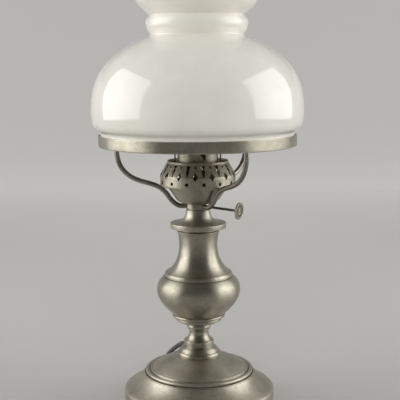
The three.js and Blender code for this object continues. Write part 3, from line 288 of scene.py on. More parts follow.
pewter_turned = pewter("pewter_turned", "BCB7A7", "A19C8C", 0.4, 0.75, 0.02, 0.03)
pewter_spun = pewter("pewter_spun", "BEB9A9", "A39E8E", 0.43, 0.35, 0.02, 0.03)
pewter_drawn = pewter("pewter_drawn_wire", "A5A196", "88847A", 0.36, 0.0, 0.005, 0.02)
pewter_stamped = pewter("pewter_stamped", "B8B3A2", "9D9887", 0.44, 0.3, 0.008, 0.045)
steel_dark = machined_metal("steel_darkened", "6A655D", "4C4843", 0.42, 2.0)
steel_plated = machined_metal("steel_zinc_plated", "A9ACAD", "8C8F91", 0.34, 3.0)
iron_cast = machined_metal("iron_cast", "4B4A48", "333231", 0.62, 2.0)
brass_machined = machined_metal("brass_machined", "B8975A", "98783F", 0.3, 3.0)
opal_blown = opal_glass("opal_glass_blown")
bulb_frosted = frosted_glass("bulb_glass_frosted")
phenolic_moulded = moulded("phenolic_moulded", "2B2420", "1C1714", 0.42, 0.9, 0.02)
porcelain_glazed = moulded("porcelain_glazed", "ECE8DE", "DCD7CB", 0.22, 2.5, 0.03)
rubber_sheath = moulded("rubber_sheath_extruded", "55534F", "454340", 0.4, 0.6, 0.02)
felt_pressed = pressed_felt("felt_pressed")


# Mesh building

class Outline:
    """A closed outline in millimetres: radius, height above a base, and how soft its corner is."""

    def __init__(self, base, radius, height, soft=0.0):
        self.base = base
        self.points = []
        self.to(radius, height, soft)

    def to(self, radius, height, soft=0.0):
        self.points.append((radius, self.base + height, soft))
        return self

    def bend(self, controls, steps, soft):
        """A curve drawn toward its control points, the last of which it ends on."""
        line = [self.points[-1][:2]] + [(r, self.base + z) for r, z in controls]
        for i in range(1, steps + 1):
            t = i / steps
            row = line
            while len(row) > 1:
                row = [(mix(a[0], b[0], t), mix(a[1], b[1], t)) for a, b in zip(row, row[1:])]
            self.points.append((*row[0], soft if i == steps else 0.0))
        return self

    def quad(self, r1, z1, radius, height, steps, soft=0.0):
        return self.bend([(r1, z1), (radius, height)], steps, soft)

    def cubic(self, r1, z1, r2, z2, radius, height, steps, soft=0.0):
        return self.bend([(r1, z1), (r2, z2), (radius, height)], steps, soft)

    def arc(self, centre_r, centre_z, radius, begin, end, steps):
        for i in range(steps + 1):
            r, z = polar(radius, mix(begin, end, i / steps))
            self.to(centre_r + r, centre_z + z)
        return self

    def rounded(self, steps=4, longest=None):
        """The outline's points with soft corners drawn, and long straight runs divided."""
        pts = self.points
        out = []
        for i, (r, z, soft) in enumerate(pts):
            if soft <= 0:
                out.append((r, z))
                continue
            here = Vector((r, z))
            back = Vector(pts[i - 1][:2]) - here
            on = Vector(pts[(i + 1) % len(pts)][:2]) - here
            reach = min(soft, 0.45 * back.length, 0.45 * on.length)
            first = here + back.normalized() * reach
            last = here + on.normalized() * reach
            for k in range(steps + 1):
                t = k / steps
                out.append(tuple(first * (1 - t) ** 2 + here * 2 * t * (1 - t) + last * t * t))
        kept = [p for i, p in enumerate(out) if math.dist(p, out[i - 1]) > 0.01]
        if longest is None:
            return kept
        divided = []
        for i, p in enumerate(kept):
            following = kept[(i + 1) % len(kept)]
            parts = max(1, math.ceil(math.dist(p, following) / longest))
            divided += [(mix(p[0], following[0], k / parts), mix(p[1], following[1], k / parts))
                        for k in range(parts)]
        return divided


def edge_wear_and_shading(points):
    """How strongly each outline point stands out (toward 1) or lies in a groove (toward 0)."""
    count = len(points)
    area = sum(points[i - 1][0] * points[i][1] - points[i][0] * points[i - 1][1] for i in range(count))
    facing = 1.0 if area > 0 else -1.0
    values = []
    for i in range(count):
        before, here, after = Vector(points[i - 1]), Vector(points[i]), Vector(points[(i + 1) % count])
        a, b = here - before, after - here
        length = max(0.5 * (a.length + b.length), 0.15)
        turn = math.atan2(a.x * b.y - a.y * b.x, a.dot(b)) * facing
        values.append(0.5 + 0.5 * max(-1.0, min(1.0, turn / length * 0.7)))
    return values


def shade_smooth(bm, sharp):
    limit = math.radians(sharp)
    for face in bm.faces:
        face.smooth = True
    for edge in bm.edges:
        edge.smooth = len(edge.link_faces) == 2 and edge.calc_face_angle(0.0) <= limit


def new_piece(name, bm, finish_material=None, turn=None, sharp=38.0):
    bmesh.ops.recalc_face_normals(bm, faces=bm.faces)
    shade_smooth(bm, sharp)
    mesh = bpy.data.meshes.new(name)
    bm.to_mesh(mesh)
    bm.free()
    if turn is not None:
        mesh.transform(turn)
    piece = bpy.data.objects.new(name, mesh)
    bpy.context.scene.collection.objects.link(piece)
    if finish_material is not None:
        mesh.materials.append(finish_material)
    return piece


def wear_and_shading_layer(bm):
    return bm.verts.layers.float.get("wear_and_shading") or bm.verts.layers.float.new("wear_and_shading")


def turned_mesh(points, sides, bm=None):
    """A closed surface of revolution about Z, with each point's edge value on its ring, which lightens
    raised edges (polish and painted highlight) and darkens grooves (dirt and painted shade).
    """
    bm = bm or bmesh.new()
    layer = wear_and_shading_layer(bm)
    rings = []
    for (r, z), value in zip(points, edge_wear_and_shading(points)):
        count = 1 if r < 1e-6 else sides
        ring = [bm.verts.new((*polar(r * MM, 360 * k / sides), z * MM)) for k in range(count)]
        for vert in ring:
            vert[layer] = value
        rings.append(ring)
    for i, low in enumerate(rings):
        high = rings[(i + 1) % len(rings)]
        if len(low) == len(high) == 1:
            continue
        for k in range(sides):
            m = (k + 1) % sides
            corners = [low[k % len(low)], low[m % len(low)], high[m % len(high)], high[k % len(high)]]
            bm.faces.new(list(dict.fromkeys(corners)))
    return bm


def smooth_route(points, steps):
    """Points on the centripetal curve through the given ones, in millimetres."""
    pts = [Vector(p) for p in points]
    pts = [2 * pts[0] - pts[1]] + pts + [2 * pts[-1] - pts[-2]]
    out = []
    for i in range(1, len(pts) - 2):
        four = pts[i - 1:i + 3]
        knots = [0.0]
        for a, b in zip(four, four[1:]):
            knots.append(knots[-1] + (b - a).length ** 0.5)
        for k in range(steps):
            t = mix(knots[1], knots[2], k / steps)
            row = four
            for gap in (1, 2):
                row = [a.lerp(b, (t - knots[m]) / (knots[m + gap] - knots[m]))
                       for m, (a, b) in enumerate(zip(row, row[1:]))]
            out.append(row[0].lerp(row[1], k / steps))
    out.append(pts[-2])
    return out


def lofted(rings, bm=None, closed=False):
    """A skin over rings of as many points each, in millimetres, with flat ends or closed in a loop."""
    bm = bm or bmesh.new()
    layer = wear_and_shading_layer(bm)
    made = [[bm.verts.new(Vector(p) * MM) for p in ring] for ring in rings]
    for ring in made:
        for vert in ring:
            vert[layer] = 0.5
    for a, b in zip(made, made[1:] + made[:1] if closed else made[1:]):
        for k in range(len(a)):
            m = (k + 1) % len(a)
            bm.faces.new((a[k], a[m], b[m], b[k]))
    if not closed:
        bm.faces.new(list(reversed(made[0])))
        bm.faces.new(made[-1])
    return bm


def bar_mesh(points, radii, sides=20, bm=None):
    """A round bar along points in millimetres, with a radius for each point."""
    tangents = [(points[min(i + 1, len(points) - 1)] - points[max(i - 1, 0)]).normalized()
                for i in range(len(points))]
    side = tangents[0].orthogonal().normalized()
    rings = []
    for i, (point, radius) in enumerate(zip(points, radii)):
        if i:
            side = (tangents[i - 1].rotation_difference(tangents[i]) @ side).normalized()
        over = tangents[i].cross(side)
        rings.append([])
        for k in range(sides):
            across, up = polar(radius, 360 * k / sides)
            rings[-1].append(point + side * across + over * up)
    return lofted(rings, bm)


def prism_mesh(points, low, high, turn=None, bm=None):
    """A prism of (x, y) points in millimetres between two heights."""
    rings = [[Vector((x, y, z)) for x, y in points] for z in (low, high)]
    if turn is not None:
        rings = [[turn @ p for p in ring] for ring in rings]
    return lofted(rings, bm)


def settle(piece):
    """Applies a piece's modifiers to its mesh."""
    bpy.context.view_layer.update()
    graph = bpy.context.evaluated_depsgraph_get()
    mesh = bpy.data.meshes.new_from_object(piece.evaluated_get(graph))
    old = piece.data
    piece.modifiers.clear()
    piece.data = mesh
    bpy.data.meshes.remove(old)


def cut_away(piece, cutter_bm, sharp=38.0):
    """Cuts the cutters out of a piece and keeps its smooth shading."""
    cutter = new_piece("cutter", cutter_bm)
    modifier = piece.modifiers.new("cut", "BOOLEAN")
    modifier.operation = "DIFFERENCE"
    modifier.solver = "EXACT"
    modifier.object = cutter
    settle(piece)
    bpy.data.objects.remove(cutter)
    bm = bmesh.new()
    bm.from_mesh(piece.data)
    shade_smooth(bm, sharp)
    layer = wear_and_shading_layer(bm)
    for vert in bm.verts:
        vert[layer] = 0.5
    bm.to_mesh(piece.data)
    bm.free()


def bevelled(piece, width, segments=3, sharpest=35.0):
    modifier = piece.modifiers.new("bevel", "BEVEL")
    modifier.width = width * MM
    modifier.segments = segments
    modifier.limit_method = "ANGLE"
    modifier.angle_limit = math.radians(sharpest)
    settle(piece)
    return piece


def place(piece, body, slot_name, *replaced):
    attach(piece, body)
    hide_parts(*replaced)
    return piece


def turned_piece(name, outline, material, slot_name, node, longest=None, sides=144, turn=None,
                 body="lamp", cutters=None):
    """A piece turned from an outline, with its holes cut, in a node's place."""
    piece = new_piece(name, turned_mesh(outline.rounded(longest=longest), sides), material, turn)
    if cutters is not None:
        cut_away(piece, cutters)
    return place(piece, body, slot_name, node)


def outward(azimuth, droop, height):
    """Turns +Z outward at an azimuth, drooping below level, from a height on the lamp's axis."""
    return (Matrix.Translation((0, 0, height * MM)) @ Matrix.Rotation(math.radians(azimuth), 4, "Z")
            @ Matrix.Rotation(math.radians(90 + droop), 4, "Y"))


def facing_out(turn):
    """Turns a shape drawn across (x) and up (y) to face outward, from the front toward +X."""
    return Matrix.Rotation(math.radians(turn), 3, "Z") @ Matrix.Rotation(math.radians(90), 3, "X")


def drill(radius, start, end, sides, turn):
    """A straight cutter along +Z, turned to where it cuts."""
    rod = Outline(0, 0, start).to(radius, start).to(radius, end).to(0, end)
    bm = turned_mesh(rod.rounded(), sides)
    bm.transform(turn)
    return bm


def egg(bm, spot, *half_sizes):
    """Adds an egg shape at a spot, with half its sizes in millimetres."""
    size = Matrix.Diagonal((*(half * MM for half in half_sizes), 1.0))
    bmesh.ops.create_uvsphere(bm, u_segments=16, v_segments=10, radius=1.0, matrix=spot @ size)


WINDER_TURN = outward(WINDER_AZIMUTH, WINDER_DROOP, COLLAR_MID)
BUSHING_TURN = outward(BUSHING_AZIMUTH, BUSHING_DROOP, BUSHING_HEIGHT)


# Camera

camera_data = bpy.data.cameras.new("camera")
camera_data.lens = LENS
camera_data.sensor_width = 36.0
camera = bpy.data.objects.new("camera", camera_data)
bpy.context.scene.collection.objects.link(camera)
camera.matrix_world = (
    Matrix.Translation((CAMERA_ASIDE, -CAMERA_AWAY, CAMERA_HEIGHT))
    @ Matrix.Rotation(math.radians(90 - CAMERA_DOWN), 4, "X")
    @ Matrix.Rotation(math.radians(CAMERA_ROLL), 4, "Z")
)
bpy.context.scene.camera = camera


# Mains lead: over the dome, into its coil, and out to the plug

def coil_route():
    """Round inward on the floor, up onto the second layer, and round outward to the tail."""
    points = []
    for i in range(int((COIL_IN + COIL_CLIMB + COIL_OUT) * LOOP_STEPS) + 1):
        turns = i / LOOP_STEPS
        climb = min(1.0, max(0.0, (turns - COIL_IN) / COIL_CLIMB))
        from_inner = max(COIL_IN - turns, 0.0, turns - COIL_IN - COIL_CLIMB)
        radius = COIL_INNER + COIL_PITCH * from_inner - COIL_DIP * math.sin(math.pi * climb)
        x, y = polar(radius, COIL_START - 360 * turns)
        points.append(Vector((COIL_CENTRE[0] + x, COIL_CENTRE[1] + y, COIL_LOW + COIL_PITCH * climb)))
    return points


def mains_lead():
    route = smooth_route(LEAD_ROUTE, 6) + coil_route() + smooth_route(TAIL_ROUTE, 6)
    curve = bpy.data.curves.new("mains_lead", "CURVE")
    curve.dimensions = "3D"
    curve.bevel_depth = CORD_RADIUS * MM
    curve.bevel_resolution = 4
    curve.use_fill_caps = True
    spline = curve.splines.new("POLY")
    spline.points.add(len(route) - 1)
    for point, spot in zip(spline.points, route):
        point.co = (*(spot * MM), 1.0)
    spline.use_smooth = True
    curve.materials.append(rubber_sheath)
    lead = bpy.data.objects.new("mains_lead", curve)
    bpy.context.scene.collection.objects.link(lead)
    place(lead, "lamp", "lamp_cord", "cord_lead", "cord_coil", "cord_tail")
    return lead, sum((b - a).length for a, b in zip(route, route[1:]))


PLUG_TURN = (Matrix.Translation(Vector(PLUG_REAR) * MM)
             @ Matrix.Rotation(math.radians(PLUG_HEADING), 4, "Z"))


def moulded_plug():
    # Flat two-pin plug: drawn in at the lead, finger ribs on its waist, a flat face at the pins
    length, shoulder, edge, edge_deep = 31.0, 24.0, 1.2, 0.9
    rear_wide, rear_thick, front_wide, front_thick = 12.0, 9.0, 32.0, 12.0
    rib_deep, rib_pitch, ribs_start, ribs_end = 0.35, 2.4, 6.0, 18.0
    steps, sides, squareness = 48, 48, 0.45
    rings = []
    for i in range(steps + 1):
        x = length * i / steps
        share = min(1.0, x / shoulder)
        ease = share * share * (3 - 2 * share)
        dip = rib_deep * math.cos(math.pi * x / rib_pitch) ** 2 if ribs_start < x < ribs_end else 0.0
        ends = min(1.0, min(x, length - x) / edge)
        close = edge_deep * (1 - math.sqrt(1 - (1 - ends) ** 2))
        wide = mix(rear_wide, front_wide, min(share, (ease + share) / 2)) - 2 * close - 2 * dip
        thick = mix(rear_thick, front_thick, share) - 2 * close
        rings.append([])
        for k in range(sides):
            c, s = polar(1, 360 * k / sides)
            rings[-1].append((x, math.copysign(abs(c) ** squareness, c) * wide / 2,
                              math.copysign(abs(s) ** squareness, s) * thick / 2))
    plug = new_piece("moulded_plug", lofted(rings), rubber_sheath, PLUG_TURN, 50.0)
    return place(plug, "lamp", "phenolic", "plug_body")


def plug_pin(side, node):
    # Round brass pin with a tapered tip and a dark sleeve over its root
    start, sleeve_end, end = 27.3, 38.0, 48.0
    line = [(start, 2.0), (sleeve_end, 2.0), (sleeve_end + 0.1, 1.9), (end - 1.8, 1.9), (end - 0.6, 1.5),
            (end - 0.1, 0.8), (end, 0.3)]
    points = [Vector((x, side * PIN_APART / 2, 0)) for x, _ in line]
    pin = new_piece("plug_pin_" + ("first" if side < 0 else "second"),
                    bar_mesh(points, [r for _, r in line], 32), brass_machined, PLUG_TURN, 50.0)
    pin.data.materials.append(rubber_sheath)
    sleeve_x = (PLUG_TURN @ Vector((sleeve_end * MM, 0, 0))).x
    for face in pin.data.polygons:
        if face.center.x > sleeve_x:
            face.material_index = 1
    return place(pin, "lamp", "brass", node)


def rounded_box(half_wide, half_high, soft, steps=6):
    ring = []
    for corner in range(4):
        sign_x = 1 if corner in (0, 3) else -1
        sign_y = 1 if corner in (0, 1) else -1
        for k in range(steps + 1):
            c, s = polar(soft, 90 * corner + 90 * k / steps)
            ring.append((sign_x * (half_wide - soft) + c, sign_y * (half_high - soft) + s))
    return ring


def wrapped_tie():
    # Flat strap closed round the coil's bundle, with its corners pressed round
    lowest, highest = heights("coil_tie")
    sheet, wide, room = 0.55, 4.0, 0.9
    inner = COIL_INNER - CORD_RADIUS - room
    outer = COIL_INNER + COIL_PITCH * (COIL_IN - (COIL_START - TIE_ANGLE) / 360) + CORD_RADIUS + room
    across, high, soft = (outer - inner) / 2, (highest - lowest) / 2, 2.2
    outside = rounded_box(across, high, soft)
    inside = rounded_box(across - sheet, high - sheet, soft - 0.5)
    rings = [[(x, -wide / 2, z), (x, wide / 2, z), (u, wide / 2, w), (u, -wide / 2, w)]
             for (x, z), (u, w) in zip(outside, inside)]
    turn = (Matrix.Translation(Vector((*COIL_CENTRE, 0)) * MM)
            @ Matrix.Rotation(math.radians(TIE_ANGLE), 4, "Z")
            @ Matrix.Translation(Vector(((inner + outer) / 2, 0, (lowest + highest) / 2)) * MM))
    tie = new_piece("wrapped_tie", lofted(rings, closed=True), phenolic_moulded, turn)
    return place(tie, "lamp", "phenolic", "coil_tie")


def lead_bushing():
    # Strain bushing in the back of the foot, ribbed and drawn in toward the lead
    inner, wall_out, tip, ribs = 13.9, 20.7, 24.1, 3
    outline = Outline(0, 2.8, inner).to(3.6, inner).to(3.6, wall_out, 0.3)
    for i in range(ribs):
        along = mix(wall_out, tip, (i + 0.5) / ribs)
        radius = mix(3.5, 3.1, (i + 1) / ribs)
        outline.to(radius - 0.35, along - 0.3, 0.2).to(radius, along + 0.3, 0.2)
    outline.to(2.9, tip, 0.2).to(2.5, tip)
    turned_piece("lead_bushing", outline, rubber_sheath, "phenolic", "cord_bushing", sides=48,
                 turn=BUSHING_TURN)


lead, lead_length = mains_lead()
plug_pieces = [moulded_plug(), plug_pin(-1, "plug_pin_left"), plug_pin(1, "plug_pin_right"), wrapped_tie()]
lead_bushing()


# Base and felt

def spun_base():
    wall, corner, lip, rim, crown, sheet = 74.4, 73.9, 54.7, 47.6, 20.8, 1.6
    tall, wall_top, corner_up = BASE_TOP - BASE_LOW, 16.8, 18.4
    lip_up, rim_top = tall - 17.4, tall - 11.9
    bead_centre, bead, bead_up = 51.3, 2.0, lip_up + 2.2
    outline = (
        Outline(BASE_LOW, wall, 0, 0.4).to(wall, wall_top, 0.5).to(corner, corner_up, 0.6)
        .cubic(corner - 1.6, corner_up + 2.8, mix(lip, corner, 0.4), corner_up + 5.3, lip, lip_up, 24, 0.2)
        .to(lip - 0.1, lip_up + 0.8, 0.2).to(lip - 0.8, lip_up + 0.9, 0.2).to(lip - 1.2, lip_up - 0.5, 0.2)
        .to(bead_centre + 0.8 * bead, lip_up - 0.3, 0.1).arc(bead_centre, bead_up, bead, -35, 145, 14)
        .to(rim + 1.6, bead_up + 0.8, 0.1).to(rim + 0.9, bead_up + 0.9, 0.2).to(rim + 0.5, rim_top, 0.3)
        .to(rim - 0.3, rim_top + 0.1, 0.2).to(rim - 0.7, rim_top - 0.3, 0.1)
        .cubic(rim - 6.7, rim_top + 3.8, crown + 9.9, tall - 3.1, crown, tall, 20)
        .to(TUBE_HOLE, tall).to(TUBE_HOLE, tall - sheet).to(crown, tall - sheet)
        .to(rim - sheet, rim_top - 2 * sheet).to(lip - 2 * sheet, lip_up - sheet)
        .to(mix(lip, corner, 0.54), mix(corner_up, lip_up, 0.2)).to(wall - 1.25 * sheet, wall_top - 0.3)
        .to(wall - sheet, wall_top - sheet).to(wall - sheet, 0)
    )
    turned_piece("spun_base", outline, pewter_spun, "pewter", "base_shell", 4.0, 180)


def felt_pad():
    radius, edge = 72.8, 72.6
    outline = (
        Outline(0, 0, 0).to(edge, 0, 0.2).to(radius, BASE_LOW / 2, 0.3)
        .to(edge, BASE_LOW, 0.2).to(0, BASE_LOW)
    )
    turned_piece("felt_pad", outline, felt_pressed, "felt", "base_felt", 6.0, 120)


# Stem, vase and cap

def turned_foot():
    bulge, tier, band, tall = 21.6, 18.4, 14.7, FOOT_TOP - BASE_TOP
    bushing_room, room_start, room_end = 3.9, 13.6, 26.0
    outline = (
        Outline(BASE_TOP, TUBE_HOLE, 0).to(bulge - 2.0, 0).to(bulge - 0.9, -0.7, 0.3)
        .quad(bulge + 0.9, 1.8, bulge - 0.9, 4.0, 10).to(tier + 0.9, 4.5, 0.2).to(tier + 0.5, 5.6, 0.3)
        .quad(tier - 0.1, 7.6, band + 0.5, 9.2, 8, 0.2).to(band - 0.5, 9.8, 0.3).to(band, 10.6, 0.4)
        .to(band, tall).to(TUBE_HOLE, tall)
    )
    pocket = drill(bushing_room, room_start, room_end, 48, BUSHING_TURN)
    turned_piece("turned_foot", outline, pewter_turned, "pewter", "stem_foot", 1.6, cutters=pocket)


def turned_neck():
    band, waist, bead, edge, tall = 14.7, 9.7, 11.9, 10.9, NECK_TOP - FOOT_TOP
    outline = (
        Outline(FOOT_TOP, TUBE_HOLE, 0).to(band, 0).to(band, 1.2, 0.4).to(band - 1.2, 1.6, 0.2)
        .quad(waist + 1.1, 3.6, waist + 0.2, 6.6, 10).quad(waist - 0.3, 8.9, waist, 10.6, 6)
        .quad(waist + 0.2, 11.4, edge - 0.2, 12.0, 4, 0.2).to(edge - 0.5, 12.5, 0.2)
        .quad(2 * bead - edge + 0.2, 15.2, edge, tall - 0.2, 12, 0.2).to(edge - 0.3, tall)
        .to(TUBE_HOLE, tall)
    )
    turned_piece("turned_neck", outline, pewter_turned, "pewter", "stem_neck", 1.6)


def spun_bowl():
    root, low_ring, high_ring, seat, wide, top, mouth = 13.4, 22.7, 26.1, 26.0, 41.0, 34.6, 30.0
    sheet, floor_up, seat_up, wide_up, tall = 1.4, 3.9, 10.8, 34.5, BOWL_TOP - NECK_TOP
    outline = (
        Outline(NECK_TOP, TUBE_HOLE, 0).to(root, 0, 0.3).quad(17.6, 1.0, low_ring - 1.0, 3.2, 8, 0.2)
        .to(low_ring, 4.0, 0.6).to(low_ring, 5.8, 0.6).to(low_ring - 0.5, 6.4, 0.2)
        .to(high_ring - 1.2, 7.0, 0.3).to(high_ring, 7.8, 0.6).to(high_ring, 9.4, 0.6)
        .to(high_ring - 0.4, 10.0, 0.2).to(seat, seat_up, 0.3)
        .cubic(mix(seat, wide, 0.46), seat_up + 5.9, wide, mix(seat_up, wide_up, 0.6), wide, wide_up, 18)
        .cubic(wide, wide_up + 6.0, wide - 2.2, wide_up + 9.8, top, tall, 12, 0.2)
        .to(mouth, tall).to(mouth, tall - sheet).to(top - sheet, tall - sheet)
        .to(wide - sheet, wide_up + 4.0).to(wide - sheet, wide_up)
        .to(mix(seat, wide, 0.7) - sheet, mix(seat_up, wide_up, 0.45)).to(seat - sheet, seat_up + sheet)
        .to(low_ring - sheet, 7.5).to(root, floor_up).to(TUBE_HOLE, floor_up)
    )
    turned_piece("spun_bowl", outline, pewter_turned, "pewter", "vase_bowl", 3.0)


def spun_vase_neck():
    band, flare, waist, top, mouth, sheet, web = 33.3, 31.4, 18.7, 20.9, 30.0, 1.5, 3.0
    band_top, waist_up, tall = 4.6, 31.5, VASE_TOP - VASE_LOW
    outline = (
        Outline(VASE_LOW, mouth, 0).to(band, 0, 0.5)
        .quad(band + 0.3, 2.2, band - 0.5, band_top - 0.9, 6, 0.3)
        .to(band - 1.4, band_top, 0.4).to(flare, band_top - 0.2, 0.3)
        .cubic(23.7, band_top + 5.0, waist, band_top + 14.5, waist, waist_up, 22)
        .quad(waist + 0.1, waist_up + 7.6, top, tall - 2.9, 10, 0.3)
        .to(top - 1.4, tall - 2.3, 0.3).to(top - 1.6, tall).to(TUBE_HOLE, tall)
        .to(TUBE_HOLE, tall - web).to(waist - sheet, tall - web).to(waist - sheet, waist_up)
        .to(mix(mouth, waist - sheet, 0.9), mix(band_top, waist_up, 0.45))
        .to(mix(mouth, waist - sheet, 0.45), band_top + 1.3).to(mouth, band_top / 2)
    )
    turned_piece("spun_vase_neck", outline, pewter_turned, "pewter", "vase_neck", 3.0)


def turned_cap():
    rim, flare, neck, bore, rim_top, web, tall = 27.35, 20.0, 11.8, 10.7, 5.0, 8.4, CAP_TOP - VASE_TOP
    outline = (
        Outline(VASE_TOP, TUBE_HOLE, 0).to(rim, 0, 0.5).to(rim, rim_top, 0.6).to(rim - 1.6, rim_top, 0.4)
        .to(flare, rim_top + 0.9, 1.5).quad(neck + 0.6, 7.6, neck, tall - 1.0, 16, 0.2)
        .to(neck - 0.7, tall - 0.6, 0.2).to(neck - 0.7, tall).to(bore, tall).to(bore, web)
        .to(TUBE_HOLE, web)
    )
    turned_piece("turned_cap", outline, pewter_spun, "pewter", "vase_cap", 2.0)


# Burner

def turned_collar():
    bore, spigot, wall, shoulder = 9.6, 10.4, 12.0, 0.3
    shaft_room, room_start, room_end = 1.55, 2.0, 14.0
    seat, tall = CAP_TOP + shoulder - SPIGOT_LOW, COLLAR_TOP - SPIGOT_LOW
    outline = (
        Outline(SPIGOT_LOW, bore, 0).to(spigot, 0, 0.2).to(spigot, seat)
        .to(wall, seat, 0.6).to(wall, tall, 0.6).to(bore, tall)
    )
    shaft_hole = drill(shaft_room, room_start, room_end, 32, WINDER_TURN)
    turned_piece("turned_collar", outline, pewter_turned, "pewter", "arm_collar", 1.2, cutters=shaft_hole)


def spun_funnel():
    bore, wall, bend, mouth, sheet, bend_up, tall = 9.6, 12.0, 22.0, 29.8, 1.0, 5.4, FUNNEL_TOP - COLLAR_TOP
    outline = (
        Outline(COLLAR_TOP, bore, 0).to(wall - 0.2, 0, 0.1)
        .quad(mix(wall, bend, 0.65), 0.4, bend, bend_up, 14)
        .to(mouth, tall, 0.3).to(mouth - sheet, tall, 0.3).to(bend - sheet, bend_up + sheet)
        .quad(mix(wall, bend - sheet, 0.6), sheet, bore, sheet, 8)
    )
    turned_piece("spun_funnel", outline, pewter_turned, "pewter", "burner_funnel", 2.0)


def pierced_gallery():
    band, rim, sheet, funnel_mouth = 36.5, 29.4, 1.0, 28.8
    band_top, rise, deck = 11.3, GALLERY_TOP - FUNNEL_TOP, DECK_TOP - FUNNEL_TOP
    outline = (
        Outline(FUNNEL_TOP, funnel_mouth, 0).to(band - 1.9, 0).quad(band, 0, band, 1.9, 6)
        .to(band, band_top, 0.9).to(rim + 0.5, rise - 2.1, 0.5).to(rim, rise, 0.45)
        .to(rim - sheet, rise, 0.4).to(rim - sheet, deck).to(TUBE_HOLE, deck)
        .to(TUBE_HOLE, deck - sheet).to(rim - 1.5 * sheet, deck - sheet)
        .to(band - sheet, band_top - 0.3, 0.6).to(band - sheet, 1.9)
        .to(band - 1.9, sheet, 0.5).to(funnel_mouth, sheet)
    )
    # Holes as distances across and shares of the rise
    dart = [(-2.1, 0.875), (-1.9, 0.85), (-0.85, 0.785), (-0.85, 0.765), (-1.75, 0.69), (-1.7, 0.65),
            (0, 0.43), (1.7, 0.65), (1.75, 0.69), (0.85, 0.765), (0.85, 0.785), (1.9, 0.85), (2.1, 0.875)]
    middle, half_wide, half_high = 0.475, 2.6, 0.16
    diamond = [(-half_wide, middle), (0, middle - half_high), (half_wide, middle), (0, middle + half_high)]
    hole = [(x, 0.2 + y / rise) for x, y in (polar(1.7, a) for a in range(0, 360, 20))]
    dot = [(x, 0.824 + y / rise) for x, y in (polar(0.95, a) for a in range(0, 360, 30))]
    count, start = 14, 9.0
    cutters = bmesh.new()
    for i in range(count):
        for shape, step in ((dart, 0), (diamond, 0.5), (hole, 0), (dot, 0.5)):
            raised = [(x, FUNNEL_TOP + share * rise) for x, share in shape]
            prism_mesh(raised, rim - 4, band + 2, facing_out(start + 360 * (i + step) / count), cutters)
    turned_piece("pierced_gallery", outline, pewter_stamped, "pewter", "gallery", 1.3, 168, cutters=cutters)


def vented_sleeve():
    radius, sheet, tall = 19.6, 0.8, SLEEVE_TOP - DECK_TOP
    outline = (
        Outline(DECK_TOP, radius, 0).to(radius, tall, 0.3).to(radius - sheet, tall, 0.3)
        .to(radius - sheet, 0)
    )
    low, wide, high, count, start = DECK_TOP + 1.4, 5.4, 13.0, 3, 14.5
    vent = [(wide / 2, low), (wide / 2, low + high), (-wide / 2, low + high / 2)]
    cutters = bmesh.new()
    for i in range(count):
        prism_mesh(vent, radius / 2, radius + 2, facing_out(start + 360 * i / count), cutters)
    turned_piece("vented_sleeve", outline, pewter_stamped, "pewter", "crown_sleeve", 1.5, cutters=cutters)


def spring_clip(side, azimuth):
    # Strip folded out as a foot on the deck and hooked in over the sleeve
    near, thick, sheet, foot, wide, sleeve = 21.3, 1.5, 0.9, 3.0, 5.0, 19.9
    far = near + thick
    profile = [
        (near, DECK_TOP), (far + foot, DECK_TOP), (far + foot, DECK_TOP + sheet),
        (far + 0.6, DECK_TOP + sheet), (far, DECK_TOP + sheet + 0.6), (far, CLIP_TOP - 0.5),
        (far - 0.5, CLIP_TOP), (sleeve, CLIP_TOP), (sleeve, CLIP_TOP - sheet), (near, CLIP_TOP - sheet),
    ]
    bm = prism_mesh(profile, -wide / 2, wide / 2, facing_out(azimuth))
    clip = bevelled(new_piece("spring_clip_" + side, bm, pewter_drawn), 0.35)
    place(clip, "lamp", "dark_pewter", "sleeve_clip_" + side)


# Arms, ring and shade

def bent_arm(side, azimuth):
    route = smooth_route([(*polar(reach, azimuth), height) for reach, height in ARM_LINE], 6)
    arm = new_piece("bent_arm_" + side, bar_mesh(route, [ARM_RADIUS] * len(route), 28), pewter_drawn)
    place(arm, "lamp", "pewter", "arm_" + side)


def rolled_ring():
    wall, flange, sheet, tall = 95.4, 75.6, 1.2, RING_TOP - RING_LOW
    outline = (
        Outline(RING_LOW, flange, 0, 0.4).to(wall - 3.0, 0, 0.8).to(wall - 0.9, -0.8, 0.5)
        .to(wall, -0.1, 0.6).to(wall, tall - 1.2, 0.1).to(wall, tall, 0.6).to(wall - sheet, tall, 0.5)
        .to(wall - sheet, sheet, 0.6).to(flange, sheet, 0.4)
    )
    turned_piece("rolled_ring", outline, pewter_turned, "pewter", "shade_ring", 3.0, 216)


